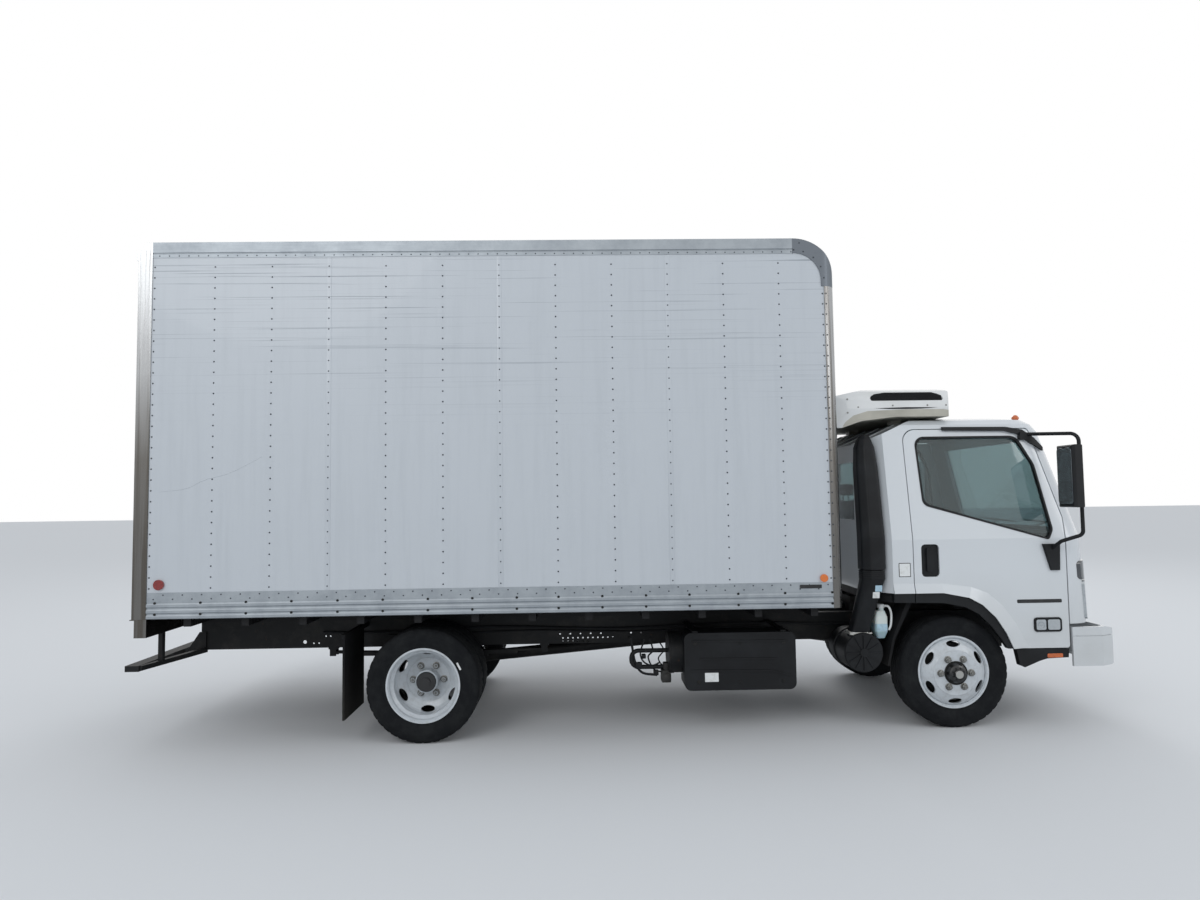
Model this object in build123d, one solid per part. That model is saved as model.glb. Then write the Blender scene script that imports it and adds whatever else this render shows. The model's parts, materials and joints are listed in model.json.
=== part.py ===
from build123d import *
from math import cos, pi, sin
import os

# Refrigerated cab-over truck. Millimetres; X forward from the front axle, Y left, Z up from the ground.
# Every piece is modelled in these axes and moved to the middle of the truck's length when it is written.

# Driving dimensions of the whole truck
WHEELBASE = 3810
BUMPER_X = 1206
STEP_X = -5846
MID_X = (BUMPER_X + STEP_X) / 2

# Wheels and axles
TYRE_R = 398
TYRE_W = 226
RIM_FLANGE_R = 260
RIM_SEAT_R = 248
RIM_WELL_R = 226
RIM_HALF_W = 95
RIM_WALL = 9
FRONT_TYRE_Y = 832.5
REAR_MID_Y = 825.5
DUAL_GAP = 262
DISC_MOUNT_W = DUAL_GAP / 2
NUT_CIRCLE_R = 111.1
HAND_HOLES = 6
HAND_HOLE_R = 204
HAND_HOLE_HALF = (50, 22)
HUB_BORE_R = 72
NUT_R = 14
KINGPIN_Y = 715
KINGPIN_R = 20
SPINDLE_R = 30
REAR_SPINDLE_R = 45
RUNNING_GAP = 0.05
FRONT_AXLE_X = 0
REAR_AXLE_X = -WHEELBASE

# Springs as (axle x, half length, seat z, rise at the eyes)
SPRINGS = [(FRONT_AXLE_X, 600, 372, 86), (REAR_AXLE_X, 820, 462, 12)]
SPRING_Y = 386
SPRING_HALF = 30

# Chassis frame
RAIL_OUT_Y = 425.5
RAIL_WIDTH = 66
RAIL_WALL = 6
RAIL_Z0 = 562
RAIL_Z1 = 770
RAIL_FRONT_X = 935
RAIL_REAR_X = -5640
# Rows of round holes through each rail's web as (first x, z, count, pitch, radius)
RAIL_HOLES = [
    (-4845, 608, 1, 0, 14), (-4776, 597, 2, 39, 6), (-4683, 650, 2, 36, 6), (-2866, 636, 5, 80, 6),
    (-2843, 604, 11, 39, 6), (-2843, 577, 6, 39, 6), (-2327, 604, 1, 0, 6), (-2310, 636, 2, 78, 6),
]
TOW_EYE_X = 975
TOW_EYE_Z = 532
TOW_EYE_Y = 390
TOW_EYE_R = 18

# Load box
BOX_REAR_X = -5743
BOX_FRONT_X = -866
BOX_HALF_Y = 1219
BOX_Z0 = 912
RAIL_TOP_Z = 1091
PANEL_TOP_Z = 3404
BOX_Z1 = 3513
WALL = 64
SKIN_STEP = 6
NOSE_R = 300
CORNER_R = 92
FLOOR_Z1 = 1120
FLOOR_DECK = 30
ROOF_THICK = 84
POST_WIDTH = 97

PLATE_Y = 820
PLATE_Z = 880
PLATE_PITCH = 177.8
PLATE_HOLE_R = 3.5

# Cab
CAB_REAR_X = -590
CAB_HALF_Y = 1000
CAB_WALL = 46
CAB_FLOOR_Z = 905
TILT_X = 945
TILT_Z = 720
TILT_PIN_R = 14
DOOR_REAR_X = -290
DOOR_FRONT_X = 822
DOOR_Z0 = 572
DOOR_TOP_Z = 2168
SILL_Z = 977
DOOR_GAP = 6
DOOR_FRONT_GAP = 8
HINGE_X = 772
HINGE_Y = 982
HINGE_PIN_R = 8
HINGE_LEVELS = [(985, 1035), (1285, 1335)]
SEAL = 14
SNORKEL_PLAN = [(-458, -1004), (-600, -1004), (-655, -960), (-655, -850), (-604, -841)]
SNORKEL_Z0 = 1148
UNIT_TOP_Z = 2480
UNIT_HALF_Y = 890
UNIT_REAR_X = -830
UNIT_FRONT_X = 88
UNIT_SEAM_Z = 2320

# Wheel arch edges on the cab's side as (crease x, crease z, lower edge x, lower edge z), rear to front
ARCH_STATIONS = [
    (-445, 1051, -445, 977), (-91, 1046, -91, 977), (120, 1020, 95, 940), (240, 975, 190, 888),
    (345, 885, 285, 795), (440, 755, 355, 685), (530, 577, 405, 572),
]
ARCH_PROUD = 20
LINER_INNER = [(-445, 912), (-91, 905), (75, 872), (165, 822), (250, 738), (322, 640), (366, 573)]

parts = {}


def block(x0, x1, y0, y1, z0, z1):
    """Box between its limits on each axis."""
    middle = ((x0 + x1) / 2, (y0 + y1) / 2, (z0 + z1) / 2)
    return Pos(*middle) * Box(x1 - x0, y1 - y0, z1 - z0)


def prism_y(outline, y0, y1):
    """(x, z) outline run across the truck from y0 to y1."""
    wire = Wire.make_polygon([(x, y0, z) for x, z in outline], close=True)
    return extrude(Face(wire), amount=y1 - y0, dir=(0, 1, 0))


def prism_x(outline, x0, x1):
    """(y, z) outline run along the truck from x0 to x1."""
    wire = Wire.make_polygon([(x0, y, z) for y, z in outline], close=True)
    return extrude(Face(wire), amount=x1 - x0, dir=(1, 0, 0))


def prism_z(outline, z0, z1):
    """(x, y) outline run upwards from z0 to z1."""
    wire = Wire.make_polygon([(x, y, z0) for x, y in outline], close=True)
    return extrude(Face(wire), amount=z1 - z0, dir=(0, 0, 1))


def round_prism_y(outline, radii, y0, y1):
    """(x, z) outline with rounded corners, run across the truck from y0 to y1."""
    wire = Wire(FilletPolyline(*[(x, y0, z) for x, z in outline], radius=radii, close=True).edges())
    return extrude(Face(wire), amount=y1 - y0, dir=(0, 1, 0))


def round_block_y(x0, x1, z0, z1, radius, y0, y1):
    """Plate with rounded corners as seen from the side."""
    return round_prism_y([(x0, z0), (x1, z0), (x1, z1), (x0, z1)], radius, y0, y1)


def round_prism_x(outline, radius, x0, x1):
    """(y, z) outline with rounded corners, run along the truck from x0 to x1."""
    wire = Wire(FilletPolyline(*[(x0, y, z) for y, z in outline], radius=radius, close=True).edges())
    return extrude(Face(wire), amount=x1 - x0, dir=(1, 0, 0))


def round_prism_z(outline, radius, z0, z1):
    """(x, y) outline with rounded corners, run upwards from z0 to z1."""
    wire = Wire(FilletPolyline(*[(x, y, z0) for x, y in outline], radius=radius, close=True).edges())
    return extrude(Face(wire), amount=z1 - z0, dir=(0, 0, 1))


def round_section(outline, radius, z):
    """Flat (x, y) face with rounded corners at one height, for lofts."""
    return Face(Wire(FilletPolyline(*[(x, y, z) for x, y in outline], radius=radius, close=True).edges()))


def scaled(outline, share, middle, shift=0):
    """(x, y) outline shrunk about a middle point and moved sideways."""
    mx, my = middle
    return [(mx + share * (x - mx), my + share * (y - my) + shift) for x, y in outline]


def rod(start, end, radius):
    """Round bar between two points."""
    start, end = Vector(*start), Vector(*end)
    axis = Plane(origin=start, z_dir=end - start)
    return axis * Cylinder(radius, (end - start).length, align=(Align.CENTER, Align.CENTER, Align.MIN))


def pipe(points, bend, radius):
    """Round pipe along straight runs with bends of one radius."""
    path = FilletPolyline(*points, radius=bend)
    start = Plane(origin=path @ 0, z_dir=path % 0)
    return sweep(start * Circle(radius), path=path)


def spin_y(outline):
    """(radius, y) outline turned about the Y axis."""
    wire = Wire.make_polygon([(r, y, 0) for r, y in outline], close=True)
    return revolve(Face(wire), axis=Axis.Y, revolution_arc=360)


def other_side(shape):
    """The same piece on the left side of the truck."""
    return mirror(shape, about=Plane.XZ)


def both_sides(*shapes):
    return list(shapes) + [other_side(shape) for shape in shapes]


def fuse(pieces):
    body = pieces[0]
    for piece in pieces[1:]:
        body = body + piece
    return body


def solids_of(pieces):
    found = []
    for piece in pieces:
        found.extend(piece.solids())
    return found


def save(name, *pieces):
    """Keep a sub-part under its node name; pieces that don't touch stay separate solids of it."""
    parts[name] = Pos(-MID_X, 0, 0) * Compound(children=solids_of(pieces))


# Wheels: built about the Y axis with the outer side towards -Y, so they stand as right-hand wheels

def tyre():
    half = TYRE_W / 2
    section = [
        (RIM_SEAT_R + 1, -RIM_HALF_W + 13), (RIM_FLANGE_R + 2, -RIM_HALF_W + 7), (RIM_FLANGE_R + 4, -RIM_HALF_W),
        (RIM_FLANGE_R + 20, -RIM_HALF_W - 7), (335, -half), (382, -half + 11), (TYRE_R, -half + 43),
    ]
    mirrored = [(r, -y) for r, y in reversed(section)]
    return spin_y(section + mirrored)


def rim_barrel():
    outer = [
        (RIM_FLANGE_R, -RIM_HALF_W), (RIM_FLANGE_R, -RIM_HALF_W + 7), (RIM_SEAT_R, -RIM_HALF_W + 12),
        (RIM_SEAT_R - 2, -50), (RIM_WELL_R, -32), (RIM_WELL_R, 32), (RIM_SEAT_R - 2, 50),
        (RIM_SEAT_R, RIM_HALF_W - 12), (RIM_FLANGE_R, RIM_HALF_W - 7), (RIM_FLANGE_R, RIM_HALF_W),
    ]
    inner = [
        (RIM_SEAT_R, RIM_HALF_W), (RIM_SEAT_R - RIM_WALL, RIM_HALF_W - 14), (RIM_SEAT_R - 2 - RIM_WALL, 54),
        (RIM_WELL_R - RIM_WALL, 35), (RIM_WELL_R - RIM_WALL, -35), (RIM_SEAT_R - 2 - RIM_WALL, -54),
        (RIM_SEAT_R - RIM_WALL, -RIM_HALF_W + 14), (RIM_SEAT_R, -RIM_HALF_W),
    ]
    return spin_y(outer + inner)


def dished_disc(side):
    """Pressed steel disc that bulges to its bolting face; side is -1 outward, +1 inward."""
    face = DISC_MOUNT_W
    outside = [(238, face - 73), (238, face - 54), (226, face - 39), (206, face - 25), (182, face - 13),
               (165, face - 5), (159, face)]
    inside = [(HUB_BORE_R, face), (HUB_BORE_R, face - 12), (152, face - 12), (160, face - 17), (178, face - 25),
              (200, face - 37), (216, face - 50), (226, face - 63), (226, face - 73)]
    disc = spin_y([(r, side * y) for r, y in outside + inside])
    for turn in range(HAND_HOLES):
        angle = 2 * pi * turn / HAND_HOLES + pi / 2
        centre = Pos(HAND_HOLE_R * cos(angle), side * 100, HAND_HOLE_R * sin(angle))
        hole = centre * Rot(0, 90 - angle * 180 / pi, 0)
        disc -= hole * Rot(90, 0, 0) * extrude(Ellipse(*HAND_HOLE_HALF), amount=60, both=True)
    return disc


def wheel_nuts(face_y, length):
    nuts = []
    for turn in range(6):
        angle = 2 * pi * (turn + 0.5) / 6 + pi / 6
        spot = (NUT_CIRCLE_R * cos(angle), face_y, NUT_CIRCLE_R * sin(angle))
        end = (spot[0], face_y - length, spot[2])
        nuts.append(rod(spot, end, NUT_R))
    return nuts


def front_wheel():
    """Convex wheel with its hub, cap and brake disc."""
    face = -DISC_MOUNT_W
    bore = SPINDLE_R + RUNNING_GAP
    hub = spin_y([(0, face + 10), (bore, face + 10), (bore, face + 66), (60, face + 66), (60, face + 98),
                  (152, face + 98), (152, face + 70), (100, face + 60), (100, face + 12), (71, face + 12),
                  (71, face - 12), (62, face - 34), (50, face - 40), (34, face - 42), (34, face - 56),
                  (26, face - 62), (0, face - 62)])
    return fuse([rim_barrel() + dished_disc(-1), hub] + wheel_nuts(face + 1, 22))


def rear_wheel_pair():
    """Two wheels bolted back to back on one hub, with the brake drum inside the inner one."""
    inner = Pos(0, DUAL_GAP / 2, 0) * (rim_barrel() + dished_disc(-1))
    outer = Pos(0, -DUAL_GAP / 2, 0) * (rim_barrel() + dished_disc(1))
    bore = REAR_SPINDLE_R + RUNNING_GAP
    hub = spin_y([(0, -50), (bore, -50), (bore, 60), (100, 60), (100, 32), (148, 40), (148, 122), (160, 122),
                  (160, 34), (148, 24), (100, 14), (100, 12), (71, 12), (71, -20), (80, -24), (80, -96),
                  (66, -112), (30, -112), (30, -122), (0, -122)])
    return fuse([inner + outer, hub] + wheel_nuts(-11, 24))


def rear_tyre_pair():
    return [Pos(0, DUAL_GAP / 2, 0) * tyre(), Pos(0, -DUAL_GAP / 2, 0) * tyre()]


def build_wheels():
    front = Pos(FRONT_AXLE_X, -FRONT_TYRE_Y, TYRE_R)
    rear = Pos(REAR_AXLE_X, -REAR_MID_Y, TYRE_R)
    right = {
        "front_wheel": [front * front_wheel()],
        "front_tyre": [front * tyre()],
        "rear_wheels": [rear * rear_wheel_pair()],
        "rear_tyres": [rear * one for one in rear_tyre_pair()],
    }
    for name, shapes in right.items():
        save(name + "_right", *shapes)
        save(name + "_left", *[other_side(shape) for shape in shapes])


# Axles, springs and knuckles

def build_axles():
    eye_z0, eye_z1 = TYRE_R - 56, TYRE_R + 56
    beam = prism_x([(-655, 300), (-560, 300), (-430, 270), (430, 270), (560, 300), (655, 300),
                    (655, 356), (560, 356), (430, 340), (-430, 340), (-560, 356), (-655, 356)], -38, 38)
    pieces = [beam]
    bores = []
    for side in (-1, 1):
        y = side * KINGPIN_Y
        pieces.append(rod((0, y, eye_z0), (0, y, eye_z1), 38))
        pieces.append(block(-30, 30, side * 660 - 30, side * 660 + 30, eye_z0, eye_z1))
        pieces.append(block(-62, 62, side * SPRING_Y - 32, side * SPRING_Y + 32, 320, SPRINGS[0][2]))
        bores.append(rod((0, y, eye_z0 - 60), (0, y, eye_z1 + 60), KINGPIN_R + RUNNING_GAP))
    save("front_axle", fuse(pieces) - fuse(bores))

    y = -KINGPIN_Y
    ears = [block(-32, 32, y - 52, y + 30, z, z + 32) for z in (eye_z0 - 38, eye_z1 + 6)]
    web = block(-42, 42, y - 60, y - 44, eye_z0 - 38, eye_z1 + 38)
    pin = rod((0, y, eye_z0 - 30), (0, y, eye_z1 + 30), KINGPIN_R)
    spindle = rod((0, y - 50, TYRE_R), (0, -FRONT_TYRE_Y - DISC_MOUNT_W + 12, TYRE_R), SPINDLE_R)
    knuckle = fuse(ears + [web, pin, spindle])
    save("knuckle_right", knuckle)
    save("knuckle_left", other_side(knuckle))

    tube = rod((REAR_AXLE_X, -758, TYRE_R), (REAR_AXLE_X, 758, TYRE_R), 62)
    end_y = REAR_MID_Y + 48
    spindle = rod((REAR_AXLE_X, -end_y, TYRE_R), (REAR_AXLE_X, end_y, TYRE_R), REAR_SPINDLE_R)
    ball = Pos(REAR_AXLE_X, 0, TYRE_R) * Sphere(178)
    nose = rod((REAR_AXLE_X, 0, TYRE_R), (REAR_AXLE_X + 300, 0, TYRE_R), 78)
    seats = [block(REAR_AXLE_X - 62, REAR_AXLE_X + 62, side * SPRING_Y - 32, side * SPRING_Y + 32,
                   430, SPRINGS[1][2])
             for side in (-1, 1)]
    cover = rod((REAR_AXLE_X - 195, 0, TYRE_R), (REAR_AXLE_X, 0, TYRE_R), 130)
    save("rear_axle", fuse([tube, spindle, ball, nose, cover] + seats))

    springs = [leaf_spring(*row, side * SPRING_Y) for row in SPRINGS for side in (-1, 1)]
    save("leaf_springs", *springs)


def leaf_spring(axle_x, half, seat_z, rise, y):
    """Three leaves clamped over the axle; the longest ends in an eye on each side."""
    pieces = [block(axle_x - 70, axle_x + 70, y - SPRING_HALF, y + SPRING_HALF, seat_z, seat_z + 62)]
    for share, level in ((1.0, 40), (0.74, 24), (0.46, 8)):
        stations = [axle_x + half * share * step / 4 for step in range(-4, 5)]
        low = [(x, seat_z + level + rise * ((x - axle_x) / half) ** 2) for x in stations]
        high = [(x, z + 16) for x, z in reversed(low)]
        pieces.append(prism_y(low + high, y - SPRING_HALF, y + SPRING_HALF))
    for end in (-1, 1):
        eye = (axle_x + end * half, seat_z + 48 + rise)
        pieces.append(rod((eye[0], y - SPRING_HALF, eye[1]), (eye[0], y + SPRING_HALF, eye[1]), 20))
    return fuse(pieces)


# Chassis frame, running gear and what hangs on it

def spring_hangers(side):
    """Forked plates under the rail that hold both ends of each spring."""
    pieces = []
    half_y = SPRING_HALF + 7
    y = side * SPRING_Y
    for axle_x, half, seat_z, rise in SPRINGS:
        for end in (-1, 1):
            x, z = axle_x + end * half, seat_z + 48 + rise
            pieces.append(block(x - 34, x + 34, y - half_y, y + half_y, RAIL_Z0 - 14, RAIL_Z0))
            for low, high in ((y - half_y, y - SPRING_HALF), (y + SPRING_HALF, y + half_y)):
                pieces.append(block(x - 24, x + 24, low, high, z - 26, RAIL_Z0 - 14))
    return pieces


def build_chassis():
    web = RAIL_OUT_Y
    rails = []
    for side in (-1, 1):
        flange = web - RAIL_WIDTH
        inner = web - RAIL_WALL
        outline = [(web, RAIL_Z0), (web, RAIL_Z1), (flange, RAIL_Z1), (flange, RAIL_Z1 - RAIL_WALL),
                   (inner, RAIL_Z1 - RAIL_WALL), (inner, RAIL_Z0 + RAIL_WALL), (flange, RAIL_Z0 + RAIL_WALL),
                   (flange, RAIL_Z0)]
        rail = prism_x([(side * y, z) for y, z in outline], RAIL_REAR_X, RAIL_FRONT_X)
        for first_x, z, count, pitch, radius in RAIL_HOLES:
            for step in range(count):
                x = first_x + pitch * step
                rail -= rod((x, side * (web - 20), z), (x, side * (web + 10), z), radius)
        tower = prism_y([(TILT_X - 70, RAIL_Z1 - 120), (TILT_X + 20, RAIL_Z1 - 120), (TILT_X + 24, TILT_Z),
                         (TILT_X, TILT_Z + 22), (TILT_X - 70, TILT_Z + 10)], web, web + 20)
        tower = tower + rod((TILT_X, web + 10, TILT_Z), (TILT_X, web + 72, TILT_Z), TILT_PIN_R)
        tower = tower if side > 0 else other_side(tower)
        y = side * TOW_EYE_Y
        eye = block(900, TOW_EYE_X + 38, y - 27, y + 27, TOW_EYE_Z - 10, TOW_EYE_Z + 10)
        eye = eye - rod((TOW_EYE_X, y, TOW_EYE_Z - 20), (TOW_EYE_X, y, TOW_EYE_Z + 20), TOW_EYE_R)
        eye = eye + block(900, 930, y - 20, y + 20, TOW_EYE_Z + 10, RAIL_Z0 + 17)
        rails.append(fuse([rail, tower, eye] + spring_hangers(side)))
    save("frame_rails", *rails)
    cross = []
    for x in (-5600, -4950, -4320, -3300, -2650, -2000, -1350, 900):
        cross.append(block(x - 30, x + 30, -web + RAIL_WALL, web - RAIL_WALL, RAIL_Z0 + 92, RAIL_Z1 - 40))
    save("crossmembers", *cross)

    save("engine_block", block(-520, 330, -270, 270, 500, 870))
    bell = Cone(190, 110, 560, align=(Align.CENTER, Align.CENTER, Align.MIN))
    gearbox = Pos(-520, 0, 640) * Rot(0, -90, 0) * bell
    shaft = rod((-1075, 0, 600), (REAR_AXLE_X + 312, 0, TYRE_R), 45)
    save("driveline", gearbox + shaft)

    tank = round_prism_x([(460, 395), (860, 395), (860, 725), (460, 725)], 60, -2150, -1250)
    straps = []
    for x in (-2000, -1400):
        outer = round_prism_x([(455, 390), (865, 390), (865, 730), (455, 730)], 62, x - 25, x + 25)
        straps.append(outer + block(x - 25, x + 25, RAIL_OUT_Y, 470, 600, 700))
    filler = rod((-1330, 820, 700), (-1330, 850, 752), 42)
    save("fuel_tank", fuse([tank, filler] + straps))
    case = block(-1140, -700, RAIL_OUT_Y, 856, 470, 640)
    lid = round_prism_z([(-1148, 440), (-692, 440), (-692, 864), (-1148, 864)], 30, 640, 704)
    save("battery_box", fuse([case, lid, block(-960, -880, 864, 872, 600, 660)]))


def build_side_equipment():
    """Right side behind the cab: exhaust treatment, its cover, the air cleaner and the coolant bottle."""
    drum = rod((-2060, -740, 545), (-1230, -740, 545), 150)
    band = rod((-2040, -740, 545), (-2018, -740, 545), 155)
    loop = pipe([(-2060, -760, 560), (-2330, -760, 560), (-2330, -760, 440), (-2060, -760, 440)], 55, 16)
    carrier = block(-1800, -1640, -640, -RAIL_OUT_Y, 520, 600)
    save("aftertreatment", fuse([drum, band, loop, carrier]))

    x0, x1, z0, z1 = -1960, -1155, 305, 713
    cover = round_block_y(x0, x1, z0, z1, 48, -960, -740)
    cover = cover - round_block_y(x0 + 10, x1 - 10, z0 + 10, z1 - 10, 38, -950, -730)
    for outline in ([(-1845, 524), (-1294, 518), (-1294, 530), (-1845, 536)],
                    [(-1909, 440), (-1337, 432), (-1193, 396), (-1193, 408), (-1337, 446), (-1909, 454)],
                    [(-1900, 650), (-1215, 644), (-1215, 656), (-1900, 662)]):
        cover = cover + prism_y(outline, -966, -955)
    cover = cover - rod((x0 - 50, -740, 545), (x0 + 60, -740, 545), 157)
    stays = [block(x, x + 40, -945, -RAIL_OUT_Y, z1 - 1, z1 + 11) for x in (-1900, -1260)]
    save("aftertreatment_cover", fuse([cover] + stays))

    canister = spin_y([(0, -930), (136, -930), (142, -922), (142, -700), (150, -694), (150, -664), (142, -658),
                       (142, -560), (0, -560)])
    ribs = []
    for turn in range(12):
        ribs.append(Rot(0, 30 * turn, 0) * block(28, 126, -938, -929, -4, 4))
    hub = rod((0, -940, 0), (0, -929, 0), 30)
    canister = Pos(-650, 0, 547) * fuse([canister, hub] + ribs)
    middle = (-562, -940)
    ends = [([(-596, -905), (-735, -905), (-735, -790), (-605, -780)], 22, 660), (SNORKEL_PLAN[:4], 22, 1080)]
    duct = loft([round_section(plan, radius, z) for plan, radius, z in ends], ruled=True)
    collar = round_prism_z(SNORKEL_PLAN[:4], 22, 1080, SNORKEL_Z0 - 5)
    fold = scaled(SNORKEL_PLAN[:4], 1.05, middle)
    rings = [round_prism_z(fold, 24, z, z + 8) for z in (1084, 1100, 1116, 1132)]
    arm = block(-700, -600, -560, -RAIL_OUT_Y, 560, 640)
    save("air_cleaner", fuse([canister, duct, collar, arm] + rings))

    plan = [(-548, -900), (-455, -900), (-455, -790), (-548, -790)]
    middle = (-501, -845)
    levels = ((0.62, 640), (1, 690), (1, 795), (0.7, 838))
    bottle = loft([round_section(scaled(plan, share, middle), 20 * share, z) for share, z in levels], ruled=True)
    neck = rod((-490, -855, 830), (-490, -855, 866), 20)
    save("coolant_bottle", fuse([bottle, neck, block(-520, -490, -792, -RAIL_OUT_Y, 702, 720)]))


# Bumper, mudguards and rear step

def build_outer_chassis():
    corners = [(841, -1006), (1060, -1006), (1168, -950), (1194, -700), (BUMPER_X, 0)]
    full = corners + [(x, -y) for x, y in reversed(corners[:-1])]
    inside = [(841, -985), (1035, -985), (1088, -950), (1092, 0)]
    hollow = inside + [(x, -y) for x, y in reversed(inside[:-1])]
    side_form = round_prism_y([(835, 440), (BUMPER_X, 440), (BUMPER_X, 692), (1092, 718), (835, 718)],
                              [0.0, 75.0, 18.0, 0.0, 0.0], -1100, 1100)
    shell = (prism_z(full, 430, 730) & side_form) - prism_z(hollow, 400, 760)
    groove = prism_z(full, 650, 656) - prism_z([(x - 5, y * 0.995) for x, y in full], 640, 660)
    shell = shell - groove
    for z0, z1 in ((490, 548), (566, 624)):
        mouth = [(-430, z0), (430, z0), (430, z1), (-430, z1)]
        shell = shell - round_prism_x(mouth, 24, BUMPER_X - 44, BUMPER_X + 10)
    for side in (-1, 1):
        shell = shell - rod((1150, side * 690, 556), (1260, side * 690, 556), 62)
    horns = [block(RAIL_FRONT_X, 1110, side * 400 - 20, side * 400 + 20, 580, 660) for side in (-1, 1)]
    save("front_bumper", fuse([shell] + horns))

    guard = prism_y([(-466, 449), (-482, 449), (-440, 640), (-330, 899), (-290, 899), (-420, 640)], -930, -740)
    stay = block(-400, -340, -740, -RAIL_OUT_Y, 740, 760)
    flap = block(-4367, -4352, -1060, -560, 170, 726)
    hanger = block(-4380, -4350, -1060, -RAIL_OUT_Y, 726, 760)
    save("mudguards", *both_sides(guard + stay, flap + hanger))

    beam = block(STEP_X, BOX_REAR_X - 8, -1100, 1100, 540, 580)
    legs = []
    for side in (-1, 1):
        web, rear = side * RAIL_OUT_Y, BOX_REAR_X - 8
        brace = [(-5590, web), (-5640, web), (rear, side * 1040), (rear, side * 1090), (-5735, side * 1090)]
        legs.append(prism_z(brace, 545, 578))
        post_y = sorted((side * 866, side * 906))
        legs.append(block(-5722, -5692, post_y[0], post_y[1], 570, 785))
        arm_y = sorted((web, web + side * 12))
        legs.append(prism_y([(rear, 545), (-5600, 545), (-5600, 700), (-5650, 700)], arm_y[0], arm_y[1]))
    save("rear_step", fuse([beam] + legs))


# Load box

def build_box():
    side = [(BOX_REAR_X, BOX_Z0), (BOX_FRONT_X, BOX_Z0), (BOX_FRONT_X, BOX_Z1), (BOX_REAR_X, BOX_Z1)]
    outer = round_prism_y(side, [0.0, 0.0, NOSE_R, 0.0], -BOX_HALF_Y, BOX_HALF_Y)
    plan = [(BOX_REAR_X, -BOX_HALF_Y), (BOX_FRONT_X, -BOX_HALF_Y), (BOX_FRONT_X, BOX_HALF_Y),
            (BOX_REAR_X, BOX_HALF_Y)]
    plan_wire = Wire(FilletPolyline(*[(x, y, BOX_Z0) for x, y in plan], radius=[0.0, CORNER_R, CORNER_R, 0.0],
                                    close=True).edges())
    outer = outer & extrude(Face(plan_wire), amount=BOX_Z1 - BOX_Z0, dir=(0, 0, 1))
    inner_y = BOX_HALF_Y - WALL
    x0, x1, z0, z1 = BOX_REAR_X - 50, BOX_FRONT_X - WALL, FLOOR_Z1, BOX_Z1 - ROOF_THICK
    inner = round_prism_y([(x0, z0), (x1, z0), (x1, z1), (x0, z1)], [0.0, 0.0, NOSE_R - WALL, 0.0],
                          -inner_y, inner_y)
    shell = outer - inner
    far = BOX_HALF_Y + 50
    frame_x = BOX_REAR_X + POST_WIDTH
    front_x = -950
    roof_z = BOX_Z1 - ROOF_THICK

    inner_y = BOX_HALF_Y - WALL
    nose_z = BOX_Z1 - NOSE_R
    skin = BOX_HALF_Y - SKIN_STEP
    deck_z = FLOOR_Z1 - FLOOR_DECK
    base = block(frame_x, front_x, -BOX_HALF_Y + 20, BOX_HALF_Y - 20, BOX_Z0, deck_z)
    deck = block(frame_x, front_x, -inner_y + 2, inner_y - 2, deck_z, FLOOR_Z1)
    sills = [block(frame_x, front_x, s * 392 - 33, s * 392 + 33, RAIL_Z1, BOX_Z0) for s in (-1, 1)]
    bearers = [block(x - 25, x + 25, -1150, 1150, BOX_Z0 - 62, BOX_Z0) for x in range(-5400, -1000, 394)]
    save("box_floor", fuse([base, deck] + sills + bearers))
    walls = []
    for low, high in ((-skin, -inner_y), (inner_y, skin)):
        walls.append((outer & block(frame_x, front_x, low, high, BOX_Z0, roof_z)) - base)
    save("box_side_walls", *walls)
    nose = shell & block(front_x - NOSE_R, BOX_FRONT_X + 1, -inner_y, inner_y, nose_z, roof_z)
    save("box_roof", (shell & block(frame_x, BOX_FRONT_X + 1, -skin, skin, roof_z, BOX_Z1 + 10)) + nose)
    front = shell & block(front_x, BOX_FRONT_X + 1, -far, far, BOX_Z0, roof_z)
    corner_y = BOX_HALF_Y - CORNER_R
    posts = [front & block(front_x, BOX_FRONT_X + 1, low, high, BOX_Z0, roof_z)
             for low, high in ((-far, -corner_y), (corner_y, far))]
    cap_hole = Pos(BOX_FRONT_X - NOSE_R, 0, nose_z) * Rot(90, 0, 0) * Cylinder(NOSE_R - 104, 4000)
    cap_zone = block(BOX_FRONT_X - NOSE_R, BOX_FRONT_X + 1, skin, BOX_HALF_Y, nose_z - 44, BOX_Z1)
    cap = (outer & cap_zone) - cap_hole
    cap = cap - block(BOX_FRONT_X - NOSE_R - 1, BOX_FRONT_X - 104, skin - 1, far, nose_z - 45, nose_z)
    caps = both_sides(cap)
    save("box_corner_posts", *[post - nose - caps[0] - caps[1] for post in posts])
    save("box_front_wall", front & block(front_x, BOX_FRONT_X + 1, -corner_y, corner_y, BOX_Z0, nose_z))

    low_band = [(skin, BOX_Z0)]
    for z in (BOX_Z0 + 4, BOX_Z0 + 42, BOX_Z0 + 82):
        low_band += [(BOX_HALF_Y, z), (BOX_HALF_Y, z + 16), (skin + 1, z + 24), (skin + 1, z + 32)]
    low_band += [(skin + 2, BOX_Z0 + 114), (skin + 2, RAIL_TOP_Z), (skin, RAIL_TOP_Z)]
    low = prism_x(low_band, frame_x, front_x)
    lip_y = BOX_HALF_Y - 3
    high_band = [(skin, PANEL_TOP_Z), (lip_y, PANEL_TOP_Z), (lip_y, PANEL_TOP_Z + 26),
                 (skin + 1, PANEL_TOP_Z + 29), (skin + 1, PANEL_TOP_Z + 33), (BOX_HALF_Y, PANEL_TOP_Z + 36),
                 (BOX_HALF_Y, BOX_Z1), (skin, BOX_Z1)]
    high = prism_x(high_band, frame_x, BOX_FRONT_X - NOSE_R)
    save("box_rails", *both_sides(low, high), *caps)

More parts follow.
